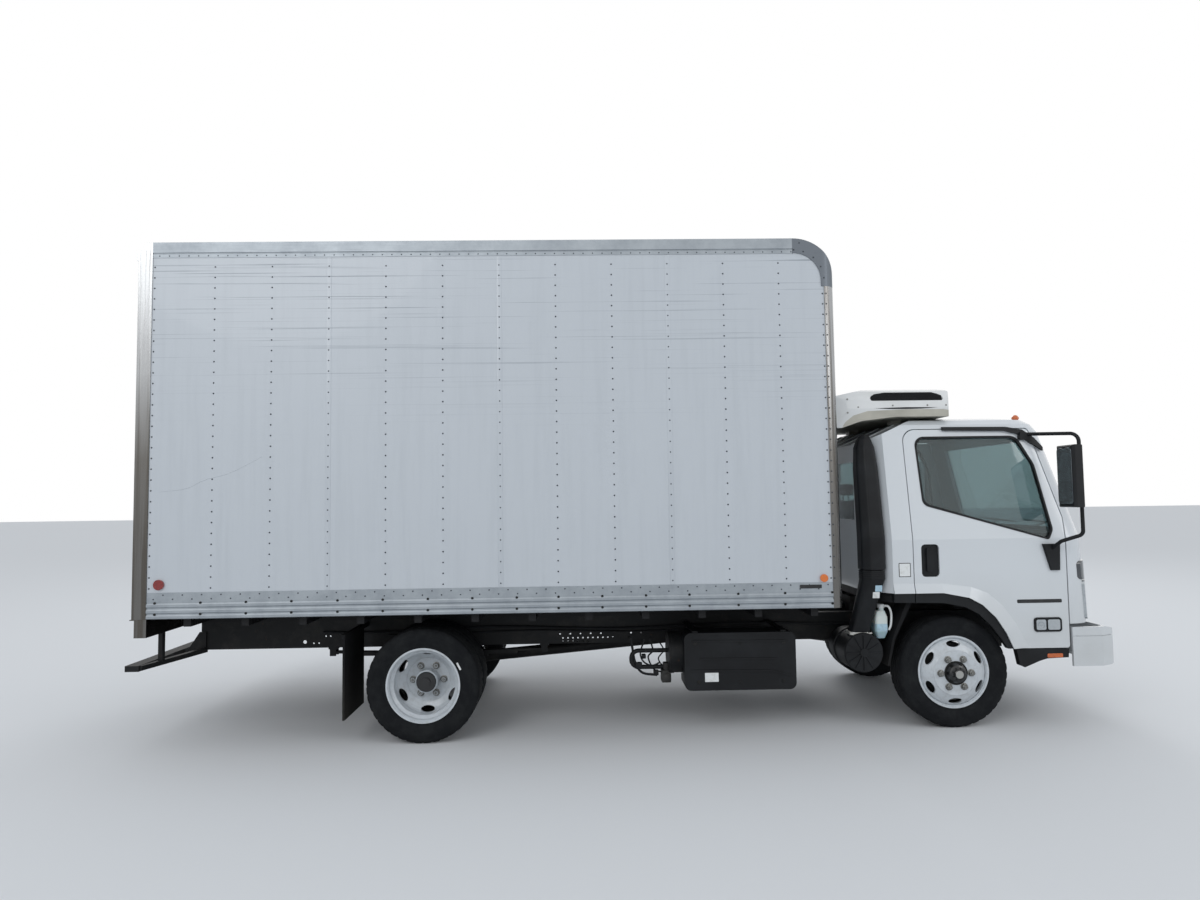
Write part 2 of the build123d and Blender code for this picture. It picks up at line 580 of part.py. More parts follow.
    posts = [block(BOX_REAR_X, frame_x, s * (BOX_HALF_Y - 45) - 45, s * (BOX_HALF_Y - 45) + 45, BOX_Z0, 3385)
             for s in (-1, 1)]
    sill = block(BOX_REAR_X, frame_x, -1129, 1129, BOX_Z0, FLOOR_Z1)
    header = block(BOX_REAR_X - 11, frame_x, -BOX_HALF_Y, BOX_HALF_Y, 3385, 3456)
    top = block(BOX_REAR_X + 40, frame_x, -BOX_HALF_Y + 6, BOX_HALF_Y - 6, 3456, BOX_Z1)
    lamp_box = block(BOX_REAR_X + 8, BOX_REAR_X + 90, -1200, 1200, 785, BOX_Z0)
    for y in (PLATE_Y - PLATE_PITCH / 2, PLATE_Y + PLATE_PITCH / 2):
        lamp_box = lamp_box - rod((BOX_REAR_X, y, PLATE_Z), (BOX_REAR_X + 28, y, PLATE_Z), PLATE_HOLE_R)
    lip_x = BOX_REAR_X - 26
    lip = prism_y([(BOX_REAR_X + 20, 918), (lip_x, 908), (lip_x, 902), (BOX_REAR_X + 20, 902)], -1195, 1195)
    save("box_rear_frame", fuse(posts + [sill, header, top, lamp_box, lip]))
    slats = []
    for index in range(7):
        z0 = FLOOR_Z1 + index * 323.5
        slats.append(block(BOX_REAR_X + 24, BOX_REAR_X + 64, -1129, 1129, z0, z0 + 323.5))
        slats.append(block(BOX_REAR_X + 20, BOX_REAR_X + 24, -1100, 1100, z0 + 12, z0 + 311.5))
    latch = block(BOX_REAR_X + 6, BOX_REAR_X + 20, -45, 45, FLOOR_Z1 + 60, FLOOR_Z1 + 230)
    handle = block(BOX_REAR_X - 4, BOX_REAR_X + 6, -90, 30, FLOOR_Z1 + 150, FLOOR_Z1 + 176)
    save("rollup_door", fuse(slats + [latch, handle]))
    lamps = [rod((-5563, -skin, 1144), (-5563, -skin - 14, 1144), 35),
             rod((-1013, -skin, 1119), (-1013, -skin - 14, 1119), 27)]
    tail = [rod((BOX_REAR_X + 8, -y, 850), (BOX_REAR_X - 8, -y, 850), 50) for y in (640, 1090)]
    corner = rod((BOX_REAR_X - 11, -1150, 3420), (BOX_REAR_X - 20, -1150, 3420), 26)
    middle = [rod((BOX_REAR_X - 11, y, 3420), (BOX_REAR_X - 20, y, 3420), 26) for y in (-152, 0, 152)]
    save("marker_lamps", *both_sides(*lamps, *tail, corner), *middle)


# Cab shell: level outlines joined by straight surfaces, (z, front x, half width, front corner radius)
CAB_LEVELS = [
    (560, 1028, 1000, 170),
    (1360, 1004, 1000, 180),
    (2150, 784, 870, 150),
    (2205, 744, 850, 140),
    (2240, 692, 812, 130),
    (2258, 625, 752, 120),
    (2264, 545, 670, 110),
]
CAB_TOP_Z = 2264
ROOF_SEAM_Z = 2174
ROOF_SLOPE = [(-1000, 1885), (CAB_REAR_X, 2075), (-257, 2225), (-180, 2252), (-100, 2275)]
REAR_CHAMFER_X = -445
REAR_CHAMFER_Y = 830


def cab_form(inset):
    """Closed outer form of the cab, moved inwards by inset on every side."""
    top = CAB_TOP_Z - inset
    levels = [row for row in CAB_LEVELS[:-1] if row[0] < top - 8]
    levels.append((top,) + CAB_LEVELS[-1][1:])
    sections = []
    for z, front, half, radius in levels:
        x0, x1, y1 = CAB_REAR_X + inset, front - inset, half - inset
        back_y = y1 - CAB_HALF_Y + REAR_CHAMFER_Y + inset * 0.6
        back_x = REAR_CHAMFER_X + inset * 0.6
        corner = radius - inset / 2
        outline = [(x0, -back_y, z), (back_x, -y1, z), (x1, -y1, z), (x1, y1, z), (back_x, y1, z), (x0, back_y, z)]
        path = FilletPolyline(*outline, radius=[0.0, 0.0, corner, corner, 0.0, 0.0], close=True)
        sections.append(Face(Wire(path.edges())))
    form = loft(sections, ruled=True)
    drop = inset * 1.1
    wedge = [(x, z - drop) for x, z in ROOF_SLOPE] + [(ROOF_SLOPE[-1][0], 2600), (ROOF_SLOPE[0][0], 2600)]
    return form - prism_y(wedge, -1300, 1300)


def skin_layer(depth0, depth1):
    """Layer of the cab between two depths under its outer face; a negative depth stands proud."""
    return cab_form(depth0) - cab_form(depth1)


def door_outline(gap, front_gap):
    """(x, z) edge of the door, grown by the gap to the cab around it, and its corner radii."""
    arch = [(x, z - gap) for _, _, x, z in ARCH_STATIONS[1:-1]]
    rear = DOOR_REAR_X - gap
    top = DOOR_TOP_Z + gap
    foot = ARCH_STATIONS[-1][2] - gap
    front = [(DOOR_FRONT_X + front_gap, DOOR_Z0 - gap), (DOOR_FRONT_X - 1 + front_gap, 1506),
             (696 + front_gap, 1997), (650 + front_gap, top)]
    points = [(rear, SILL_Z - gap)] + arch + [(foot, DOOR_Z0 - gap)] + front + [(rear, top)]
    radii = [0.0] * (len(arch) + 2) + [20.0, 0.0, 60.0, 30.0, 95.0]
    return points, radii


def door_prism(gap, front_gap, y0, y1):
    outline, radii = door_outline(gap, front_gap)
    return round_prism_y(outline, radii, y0, y1)


def door_window(grow, y0, y1):
    """Side window opening with its rounded corners, grown outwards by a margin."""
    outline = [(-210 - grow, 2116 + grow), (-194 - grow, 1608 - grow), (704 + grow * 0.6, 1346 - grow),
               (742 + grow, 1420), (668 + grow, 1900), (560 + grow, 2116 + grow)]
    return round_prism_y(outline, [70.0, 60.0, 24.0, 60.0, 120.0, 90.0], y0, y1)


def arch_flare(x0, x1):
    """Raised lip of the side panel round the wheel arch, between two places along the truck."""
    sections = []
    for crease_x, crease_z, edge_x, edge_z in ARCH_STATIONS:
        corners = [(crease_x, 1 - CAB_HALF_Y, crease_z), (edge_x, -CAB_HALF_Y - ARCH_PROUD, edge_z),
                   (edge_x, 16 - CAB_HALF_Y, edge_z)]
        sections.append(Face(Wire.make_polygon(corners, close=True)))
    return loft(sections, ruled=True) & block(x0, x1, -1100, -900, 500, 1100)


def arch_trim(x0, x1):
    """Black liner edge that hangs inside the flare."""
    edge = [(x, z) for _, _, x, z in ARCH_STATIONS]
    return prism_y(edge + LINER_INNER[::-1], -CAB_HALF_Y - 8, -962) & block(x0, x1, -1100, -900, 500, 1100)


def cab_window_openings():
    screen = prism_x([(-815, 1425), (815, 1425), (735, 2090), (-735, 2090)], 600, 1200)
    back = block(CAB_REAR_X - 50, CAB_REAR_X + 120, -640, 640, 1500, 1940)
    return screen, back


def build_cab_shell():
    shell = skin_layer(0, CAB_WALL)
    foot_x = ARCH_STATIONS[-1][2]
    arch = [(x, z) for _, _, x, z in ARCH_STATIONS[::-1]]
    under = prism_y([(CAB_REAR_X - 50, 400), (foot_x, 400)] + arch + [(CAB_REAR_X - 50, SILL_Z)], -1300, 1300)
    nose_cut = block(DOOR_FRONT_X - 10, 1300, -1300, 1300, 400, 742)
    foot_cut = block(-700, DOOR_FRONT_X - 10, -1300, 1300, 400, DOOR_Z0)
    screen, back = cab_window_openings()
    opening = door_prism(DOOR_GAP, DOOR_FRONT_GAP, -1300, 1300)
    skin = shell - under - nose_cut - foot_cut - opening
    far = 3000
    door_x = DOOR_REAR_X - DOOR_GAP
    slope = prism_y([(-far, 1900), (CAB_REAR_X - 1, 1985), (door_x, 2118), (door_x + 100, 2160),
                     (door_x + 100, ROOF_SEAM_Z), (-far, ROOF_SEAM_Z)],
                    -far, far)
    above = block(-far, far, -far, far, ROOF_SEAM_Z, far) + slope
    ribs = []
    for y in (-620, -310, 0, 310, 620):
        rib = [(CAB_REAR_X + 6, 2060), (CAB_REAR_X + 6, 2084), (-262, 2231), (-262, 2205)]
        ribs.append(prism_y(rib, y - 22, y + 22))
    save("cab_roof", fuse([skin & above] + ribs))
    lower = skin - above
    save("cab_rear_wall", (lower & block(-far, REAR_CHAMFER_X, -far, far, 0, far)) - back)
    sides = lower & block(REAR_CHAMFER_X, 500, -far, far, 0, far)
    flare = arch_flare(REAR_CHAMFER_X, DOOR_REAR_X - DOOR_GAP)
    save("cab_sides", fuse([sides, flare, other_side(flare)]))
    grille_hole = block(900, 1200, -520, 520, 820, 1090)
    panel = (lower & block(500, far, -far, far, 0, far)) - screen - grille_hole
    save("cab_front_panel", fuse([panel] + both_sides(*hinge_arms())))
    glass = skin_layer(16, 22)
    save("cab_glazing", glass & screen, block(CAB_REAR_X + 16, CAB_REAR_X + 22, -640, 640, 1500, 1940))

    lens = skin_layer(-12, 0)
    lamps = []
    for y0, y1, z0, z1 in ((560, 956, 765, 1044), (690, 985, 1052, 1190)):
        window = round_prism_x([(y0, z0), (y1, z0), (y1, z1), (y0, z1)], 26, 850, 1200)
        lamps.extend([lens & window, lens & other_side(window)])
    save("cab_lamps", *lamps)
    bars = [block(900, 1200, -520, 520, z, z + 26) for z in (820, 881, 942, 1003, 1064)]
    frame = block(900, 1200, -520, 520, 820, 1090) - block(800, 1300, -496, 496, 800, 1100)
    grille = skin_layer(-4, 24) & fuse([frame] + bars)
    save("grille", grille)


def hinge_arms():
    """Door hinge arms of the right side: eye, neck inwards, then forward to the pillar's inner face."""
    arms = []
    for z0, z1 in HINGE_LEVELS:
        eye = rod((HINGE_X, -HINGE_Y, z0 + 6), (HINGE_X, -HINGE_Y, z1 - 6), 12)
        neck = block(HINGE_X - 10, HINGE_X + 10, -HINGE_Y, -920, z0 + 6, z1 - 6)
        reach = block(HINGE_X - 10, 872, -932, -920, z0 + 6, z1 - 6)
        pad = block(842, 872, -960, -920, z0 + 6, z1 - 6)
        bore = rod((HINGE_X, -HINGE_Y, z0), (HINGE_X, -HINGE_Y, z1), HINGE_PIN_R + RUNNING_GAP)
        arms.append(fuse([eye, neck, reach, pad]) - bore)
    return arms


def build_cab_inside():
    room = cab_form(CAB_WALL)
    floor_top = CAB_FLOOR_Z + 60
    floor = block(CAB_REAR_X + 10, 940, -CAB_HALF_Y, CAB_HALF_Y, CAB_FLOOR_Z, floor_top)
    pieces = []
    wells = []
    for side in (-1, 1):
        hole_y = sorted((side * 702, side * 1000))
        hinge_y = sorted((side * 914, side * 1000))
        floor = floor - block(500, 790, hole_y[0], hole_y[1], 800, 1200)
        floor = floor - block(690, 838, hinge_y[0], hinge_y[1], 800, 1200)
        well_y = sorted((side * 690, side * 914))
        well = block(485, 805, well_y[0], well_y[1], 575, CAB_FLOOR_Z)
        wells.append(well - block(500, 790, hole_y[0], hole_y[1], 590, 1300))
        lug = prism_y([(820, CAB_FLOOR_Z), (820, 745), (TILT_X - 22, TILT_Z - 16), (TILT_X + 16, TILT_Z - 16),
                       (TILT_X + 20, TILT_Z + 14), (900, 800), (880, CAB_FLOOR_Z)], 452, 482)
        lug = lug - rod((TILT_X, 440, TILT_Z), (TILT_X, 500, TILT_Z), TILT_PIN_R + RUNNING_GAP)
        pieces.append(lug if side > 0 else other_side(lug))
    floor = floor & room
    save("cab_floor", fuse([floor] + pieces))
    save("step_wells", *wells)

    dash = prism_y([(880, 1180), (960, 1180), (955, 1360), (900, 1400), (720, 1385), (690, 1290), (760, 1150)],
                   -900, 900) & cab_form(CAB_WALL + 2)
    column = rod((740, 480, 1240), (540, 480, 1357), 28)
    tilt = Pos(540, 480, 1357) * Rot(0, -60, 0)
    wheel = tilt * Torus(205, 14)
    spokes = tilt * (Box(400, 26, 12) + Box(26, 400, 12) + Cylinder(52, 30))
    save("dashboard", fuse([dash, column, wheel, spokes]))

    seats = []
    for y0, y1 in ((240, 730), (-230, 220), (-730, -250)):
        cushion = round_block_y(-260, 260, floor_top + 95, floor_top + 235, 50, y0, y1)
        base = block(-230, 230, y0 + 40, y1 - 40, floor_top, floor_top + 95)
        back = prism_y([(-250, 1200), (-130, 1200), (-240, 1800), (-340, 1790), (-360, 1300)], y0 + 10, y1 - 10)
        seats.append(fuse([cushion, base, back]))
    save("seats", *seats)


def build_cab_outside():
    fascia = prism_y([(432, 566), (816, 566), (811, 502), (655, 496), (600, 480), (490, 436), (455, 450)],
                     -996, -946)
    fascia = fascia - round_block_y(655, 770, 501, 532, 10, -1000, -988)
    tread = block(490, 806, -914, -700, 545, 575) + block(490, 806, -946, -913, 545, 562)
    slots = [block(520 + 56 * i, 552 + 56 * i, -900, -720, 540, 580) for i in range(5)]
    rear_trim = arch_trim(REAR_CHAMFER_X, DOOR_REAR_X - DOOR_GAP)
    save("cab_steps", *both_sides(fascia + tread - fuse(slots), rear_trim))

    dome = Pos(660, -700, 2256) * Cylinder(27, 12, align=(Align.CENTER, Align.CENTER, Align.MIN))
    dome = dome + Pos(660, -700, 2262) * Sphere(25)
    step_marker = round_block_y(656, 769, 502, 531, 9, -997, -989)
    middle_domes = [Pos(600, y, 2262) * Sphere(22) for y in (-150, 0, 150)]
    markers = [solid - cab_form(0) for solid in both_sides(dome) + middle_domes]
    save("cab_markers", *markers, *both_sides(step_marker))

    middle = (-562, -940)
    levels = ((SNORKEL_Z0, 0, 1, 26), (1380, 0, 1, 26), (1880, 58, 0.96, 30), (2040, 78, 0.84, 30),
              (2100, 88, 0.62, 24), (2138, 96, 0.3, 10))
    sections = [round_section(scaled(SNORKEL_PLAN, share, middle, shift), radius, z)
                for z, shift, share, radius in levels]
    snorkel = loft(sections, ruled=True)
    stays = [block(-600, -540, -905, -860, z, z + 30) for z in (1250, 1700)]
    intake = round_block_y(-615, -510, 1640, 1860, 16, -1060, -975)
    louvres = [block(-615, -510, -1060, -978, z, z + 8) for z in range(1655, 1860, 24)]
    hood = snorkel - (intake - fuse(louvres))
    save("snorkel", fuse([hood] + stays) - cab_form(0))


# Roof unit: side profile of the whole housing, its plan and its seam to the grey base
UNIT_SIDE = [(UNIT_REAR_X, 2190), (-735, 2190), (-590, 2240), (-330, 2268), (80, 2268), (UNIT_FRONT_X, 2430),
             (66, 2470), (20, UNIT_TOP_Z), (-560, UNIT_TOP_Z), (-650, 2458), (UNIT_REAR_X, 2418)]
UNIT_SEAM = [(UNIT_REAR_X - 9, 2180), (-745, 2180), (-715, 2232), (-656, 2279), (-549, 2311),
             (-250, UNIT_SEAM_Z + 2), (20, UNIT_SEAM_Z), (70, 2311), (UNIT_FRONT_X + 9, 2290)]


def build_roof_unit():
    whole = round_prism_y(UNIT_SIDE, [0.0, 0.0, 0.0, 0.0, 10.0, 24.0, 20.0, 20.0, 60.0, 40.0, 12.0],
                          -UNIT_HALF_Y, UNIT_HALF_Y)
    front = [(UNIT_HALF_Y - 22, 2180), (UNIT_HALF_Y, 2330), (UNIT_HALF_Y - 4, 2400), (UNIT_HALF_Y - 46, 2462),
             (UNIT_HALF_Y - 110, UNIT_TOP_Z + 1)]
    front = front + [(-y, z) for y, z in reversed(front)]
    whole = whole & round_prism_x(front, [0.0, 30.0, 40.0, 40.0, 0.0, 0.0, 40.0, 40.0, 30.0, 0.0],
                                  UNIT_REAR_X - 5, UNIT_FRONT_X + 5)
    plan = [(UNIT_REAR_X - 1, -UNIT_HALF_Y + 30), (-700, -UNIT_HALF_Y), (UNIT_FRONT_X - 30, -UNIT_HALF_Y),
            (UNIT_FRONT_X + 1, -UNIT_HALF_Y + 80)]
    plan = plan + [(x, -y) for x, y in reversed(plan)]
    whole = whole & prism_z(plan, 2150, 2500)
    below = prism_y(UNIT_SEAM + [(UNIT_FRONT_X + 9, 2100), (UNIT_REAR_X - 9, 2100)], -1000, 1000)
    back = UNIT_FRONT_X - 30
    cowl = round_prism_y([(back, 2285), (146, 2285), (154, 2400), (128, 2446), (back, 2446)],
                         [0.0, 12.0, 20.0, 20.0, 0.0], -640, 640)
    cowl = cowl - round_prism_x([(-560, 2310), (560, 2310), (560, 2412), (-560, 2412)], 30, 140, 170)
    bars = [block(136, 142, -560, 560, z, z + 12) for z in (2330, 2360, 2390)]
    shell = whole - below
    for side in (-1, 1):
        y0, y1 = sorted((side * UNIT_HALF_Y - 16, side * UNIT_HALF_Y + 16))
        grille = round_prism_y([(-548, 2386), (24, 2386), (18, 2424), (-70, 2453), (-330, 2456), (-500, 2440)],
                               [18.0, 18.0, 24.0, 60.0, 60.0, 40.0], y0, y1)
        slot = [(-505, 2331), (-260, 2337), (-13, 2334), (-140, 2325), (-260, 2323), (-390, 2324)]
        shell = shell - grille - prism_y(slot, y0, y1)
    save("unit_shell", fuse([shell, cowl] + bars))
    belly = (whole & below) - cowl
    feet = [block(x, x + 80, side * 500 - 40, side * 500 + 40, 2240, 2290) for x in (-240, -60) for side in (-1, 1)]
    save("unit_base", fuse([belly] + feet) - cab_form(0))


def build_doors():
    panel = skin_layer(0, CAB_WALL) & door_prism(0, 0, -1300, 0)
    panel = panel + arch_flare(DOOR_REAR_X, 600)
    door = panel - door_window(0, -1300, 0)
    door = door - round_block_y(-235, -105, 1092, 1326, 30, -1010, -982)
    door = door - round_block_y(564, 767, 687, 790, 24, -1010, -988)
    for z0, z1 in HINGE_LEVELS:
        door = door - block(HINGE_X - 16, 900, -HINGE_Y - 13, -900, z0, z1)
        door = door + rod((HINGE_X, -HINGE_Y, z0 - 10), (HINGE_X, -HINGE_Y, z1 + 10), HINGE_PIN_R)
    save("door_shell_right", door)
    save("door_shell_left", other_side(door))

    cells = [round_block_y(x0, x1, 700, 777, 12, -1004, -988) for x0, x1 in ((578, 652), (662, 754))]
    glass = skin_layer(18, 23) & door_window(-6, -1300, 0)
    save("door_glass_right", glass, *cells)
    save("door_glass_left", other_side(glass), *[other_side(cell) for cell in cells])

    seal = (skin_layer(-3, 30) & door_window(0, -1300, 0)) - door_window(-SEAL, -1300, 0) - glass
    visor_edge = [(6, 2186), (6, 2160), (470, 2152), (560, 2130), (650, 2060), (742, 2000), (748, 2026),
                  (680, 2100), (600, 2160), (480, 2182)]
    visor_form = prism_y(visor_edge, -1300, 0)
    visor_root = skin_layer(-8, 0) & visor_form & door_prism(-10, -10, -1300, 0)
    visor = (skin_layer(-26, -6) & visor_form) + visor_root
    bezel = round_block_y(565, 766, 688, 789, 23, -1008, -988) - fuse(cells)
    plate = round_block_y(-234, -106, 1093, 1325, 29, -986, -982)
    grip = round_block_y(-196, -146, 1130, 1300, 14, -1002, -986)
    foot = loft([round_section([(645, -1000), (772, -1000), (772, -1026), (645, -1026)], 8, 1317),
                 round_section([(700, -1000), (768, -1000), (768, -1018), (700, -1018)], 6, 1128)], ruled=True)
    arm = pipe([(715, -1016, 1285), (740, -1090, 1340), (845, -1180, 1390), (845, -1180, 2105), (620, -885, 2125)],
               [30, 40, 60], 13)
    bracket = round_prism_y([(568, 2082), (655, 2082), (644, 2128), (578, 2148)], 12, -912, -858)
    head = round_prism_z([(721, -1300), (809, -1286), (809, -1114), (721, -1100)], 22, 1583, 2021)
    head = head & round_block_y(715, 815, 1583, 2021, 30, -1310, -1090)
    clamps = [block(800, 852, -1200, -1160, z, z + 40) for z in (1680, 1880)]
    mirror_set = fuse([foot, arm, bracket, head] + clamps) - panel
    trim = arch_trim(DOOR_REAR_X, 600)
    right = [mirror_set, visor - mirror_set, seal, bezel, plate + grip, trim]
    save("door_mirror_right", *right)
    save("door_mirror_left", *[other_side(piece) for piece in right])


def build_all():
    build_wheels()
    build_axles()
    build_chassis()
    build_side_equipment()
    build_outer_chassis()
    build_box()
    build_cab_shell()
    build_cab_inside()
    build_cab_outside()
    build_roof_unit()
    build_doors()


build_all()
os.makedirs("parts", exist_ok=True)
for name, shape in parts.items():
    export_step(shape, "parts/" + name + ".step")
    print(name, len(shape.solids()), round(shape.volume / 1e6, 1))
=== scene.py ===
import json
from math import cos, pi, radians, sin

import bpy
import bmesh
from mathutils import Matrix, Vector


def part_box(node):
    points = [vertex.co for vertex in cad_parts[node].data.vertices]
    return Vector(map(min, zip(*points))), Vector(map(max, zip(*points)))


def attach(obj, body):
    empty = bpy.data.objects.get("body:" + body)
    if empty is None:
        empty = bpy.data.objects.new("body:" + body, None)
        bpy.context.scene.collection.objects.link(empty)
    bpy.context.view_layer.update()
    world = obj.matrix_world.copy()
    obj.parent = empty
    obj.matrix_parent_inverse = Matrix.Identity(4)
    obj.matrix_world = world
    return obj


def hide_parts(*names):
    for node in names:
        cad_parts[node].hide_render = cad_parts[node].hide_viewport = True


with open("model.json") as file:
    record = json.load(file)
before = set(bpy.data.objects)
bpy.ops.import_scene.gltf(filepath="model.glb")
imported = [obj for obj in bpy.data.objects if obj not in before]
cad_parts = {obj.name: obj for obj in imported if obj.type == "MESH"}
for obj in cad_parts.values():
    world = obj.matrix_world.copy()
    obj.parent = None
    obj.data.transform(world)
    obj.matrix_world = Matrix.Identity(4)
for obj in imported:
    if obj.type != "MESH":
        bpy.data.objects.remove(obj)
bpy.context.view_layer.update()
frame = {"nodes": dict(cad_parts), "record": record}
nodes = frame["nodes"]
scene = bpy.context.scene
scene.view_settings.view_transform = "Standard"
print("frame loaded:", len(nodes), "nodes")

mm = 0.001
wheelLow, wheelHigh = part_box("front_wheel_right")
rearLow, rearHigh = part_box("rear_wheels_right")
axleX = (wheelLow[0] + wheelHigh[0]) / 2  # the front axle's place in the truck's frame, in metres
rearAxle = ((rearLow[0] + rearHigh[0]) / 2 - axleX) / mm
hubZ = (wheelLow[2] + wheelHigh[2]) / 2 / mm
sides = (("right", -1), ("left", 1))


# Places are given in millimetres from the ground under the front axle, as in the part
def place(x, y, z):
    return Vector((axleX + x * mm, y * mm, z * mm))


def addObject(name, data):
    made = bpy.data.objects.new(name, data)
    scene.collection.objects.link(made)
    return made


# Camera, where the photographer stood
camera = {
    "place": (-0.3557, -6.7632, 1.6933),  # metres, in the truck's frame
    "turn": 1.285, "tilt": 3.43, "roll": -0.787,  # degrees
    "lens": 24.0, "sensor": 36.0, "farthest": 200,
}


def makeCamera(values):
    turn, tilt, roll = (radians(values[key]) for key in ("turn", "tilt", "roll"))
    forward = Vector((sin(turn) * cos(tilt), cos(turn) * cos(tilt), sin(tilt)))
    right = Vector((cos(turn), -sin(turn), 0))
    up = right.cross(forward)
    sideways = right * cos(roll) + up * sin(roll)
    upright = up * cos(roll) - right * sin(roll)
    data = bpy.data.cameras.new("photoCamera")
    data.lens = values["lens"]
    data.sensor_width = values["sensor"]
    data.clip_end = values["farthest"]
    stand = addObject("photoCamera", data)
    stand.matrix_world = Matrix.Translation(values["place"]) @ Matrix(
        (sideways, upright, -forward)).transposed().to_4x4()
    scene.camera = stand


makeCamera(camera)
print("camera placed")


# Material tools
def toLinear(hexColour):
    channels = [int(hexColour[i:i + 2], 16) / 255 for i in (1, 3, 5)]
    return tuple(c / 12.92 if c <= 0.04045 else ((c + 0.055) / 1.055) ** 2.4 for c in channels) + (1.0,)


# Adds a node with its settings and links; a setting that starts with # is a colour
def addNode(tree, kind, settings=None, links=None):
    node = tree.nodes.new(kind)
    for key, value in (settings or {}).items():
        if isinstance(value, str) and value.startswith("#"):
            value = toLinear(value)
        if isinstance(key, int) or key in node.inputs:
            node.inputs[key].default_value = value
        else:
            setattr(node, key, value)
    for key, source in (links or {}).items():
        tree.links.new(source.outputs[0] if hasattr(source, "outputs") else source, node.inputs[key])
    return node


# Draws a pattern, given as (texture, millimetres for one repeat, its other settings) or as one of the
# functions below and what it takes
texturePatterns = {  # pattern scale of one repeat a millimetre, and what the other settings are
    "Noise": (1000, ("Detail", "Roughness")), "Voronoi": (1000, ()), "Wave": (100 * pi, ("bands_direction",)),
}


def draw(tree, where, pattern):
    kind, *values = pattern
    if callable(kind):
        return kind(tree, where, *values)
    size, *others = values
    scale, names = texturePatterns[kind]
    return addNode(tree, "ShaderNodeTex" + kind, {"Scale": scale / size, **dict(zip(names, others))},
                   {"Vector": where})


# A pattern drawn out along the axes and turned
def stretched(tree, where, pattern, stretch, turn=(0, 0, 0)):
    at = addNode(tree, "ShaderNodeMapping", {"Scale": stretch, "Rotation": turn}, {"Vector": where})
    return draw(tree, at, pattern)


# A pattern's values from start to full, as least to most
def ranged(tree, where, pattern, start, full, most=1.0, least=0.0):
    return addNode(tree, "ShaderNodeMapRange", {"From Min": start, "From Max": full, "To Min": least,
                                                "To Max": most}, {"Value": draw(tree, where, pattern)})


# Two patterns put together, by MULTIPLY or ADD
def joined(tree, where, operation, first, second):
    return addNode(tree, "ShaderNodeMath", {"operation": operation},
                   {0: draw(tree, where, first), 1: draw(tree, where, second)})


# From nothing at one height above the ground to most at another, in metres
def byHeight(tree, where, nothing, full, most=1.0):
    height = addNode(tree, "ShaderNodeSeparateXYZ", links={"Vector": where}).outputs["Z"]
    return addNode(tree, "ShaderNodeMapRange", {"From Min": nothing, "From Max": full, "To Max": most},
                   {"Value": height})


# All that lies beyond a place along an axis, in metres, or short of it with LESS_THAN
def beyond(tree, where, axis, start, operation="GREATER_THAN"):
    along = addNode(tree, "ShaderNodeSeparateXYZ", links={"Vector": where}).outputs[axis]
    return addNode(tree, "ShaderNodeMath", {"operation": operation, 1: start}, {0: along})


# All within a radius of either axle, in metres
def nearAxle(tree, where, radius):
    flat = addNode(tree, "ShaderNodeVectorMath", {"operation": "MULTIPLY", 1: (1, 0, 1)}, {0: where})
    front, rear = (addNode(tree, "ShaderNodeVectorMath", {"operation": "DISTANCE", 1: place(axle, 0, hubZ)},
                           {0: flat}).outputs["Value"] for axle in (0, rearAxle))
    nearest = addNode(tree, "ShaderNodeMath", {"operation": "MINIMUM"}, {0: front, 1: rear})
    return addNode(tree, "ShaderNodeMath", {"operation": "LESS_THAN", 1: radius}, {0: nearest})


# The inner side of the wheels, behind each disc's distance from the truck's middle in metres
def behindDisc(tree, where, frontDisc, rearDisc):
    beside = addNode(tree, "ShaderNodeSeparateXYZ", links={"Vector": where}).outputs["Y"]
    sideways = addNode(tree, "ShaderNodeMath", {"operation": "ABSOLUTE"}, {0: beside})
    disc = ranged(tree, where, atFront, 0, 1, frontDisc, rearDisc)
    return addNode(tree, "ShaderNodeMath", {"operation": "LESS_THAN"}, {0: sideways, 1: disc})


# A material from its shader's values, its base colour, layers of (colour, patterns that multiply to say
# where), patterns for other sockets, and a relief of (pattern, strength, depth in millimetres)
def makeMaterial(name, shader, base=None, layers=None, sockets=None, relief=None):
    material = bpy.data.materials.new(name)
    material.use_nodes = True
    tree = material.node_tree
    tree.nodes.clear()
    surface = addNode(tree, "ShaderNodeBsdfPrincipled", shader)
    addNode(tree, "ShaderNodeOutputMaterial", links={"Surface": surface})
    where = addNode(tree, "ShaderNodeTexCoord").outputs["Object"]
    feeds = {socket: draw(tree, where, pattern) for socket, pattern in (sockets or {}).items()}
    under = {}
    for colour, pattern, *others in (layers or {}).values():
        for other in others:
            pattern = (joined, "MULTIPLY", pattern, other)
        mixed = addNode(tree, "ShaderNodeMixRGB", {"Color1": base, "Color2": colour},
                        {"Fac": draw(tree, where, pattern), **under})
        feeds["Base Color"] = mixed
        under = {"Color1": mixed}
    if relief:
        pattern, strength, depth = relief
        feeds["Normal"] = addNode(tree, "ShaderNodeBump", {"Strength": strength, "Distance": depth * mm},
                                  {"Height": draw(tree, where, pattern)})
    for socket, source in feeds.items():
        tree.links.new(source.outputs[0], surface.inputs[socket])
    return material


atFront = (beyond, "X", axleX - 1)  # what belongs to the front axle
deck = (beyond, "Z", 1.0)  # the floor without its bearers
boxCap = (joined, "MULTIPLY", (beyond, "X", axleX - 1.17), (beyond, "Z", 3.168))
castCap = ("#6F757C", boxCap)  # cast caps of the box's corners, duller and darker than the metal they join
dieLines = (stretched, ("Noise", 3.0, 3.0), (0.02, 1.0, 1.0))
ripples = (stretched, ("Noise", 1000, 4.0, 0.6), (26.0, 26.0, 0.5))
splashes = ("Noise", 55.56, 7.0, 0.7)
plateSpecks = ("Noise", 6, 5.0)
labelSoil = ("Noise", 40, 6.0)
ribs = ("Wave", 25.0, "Y")


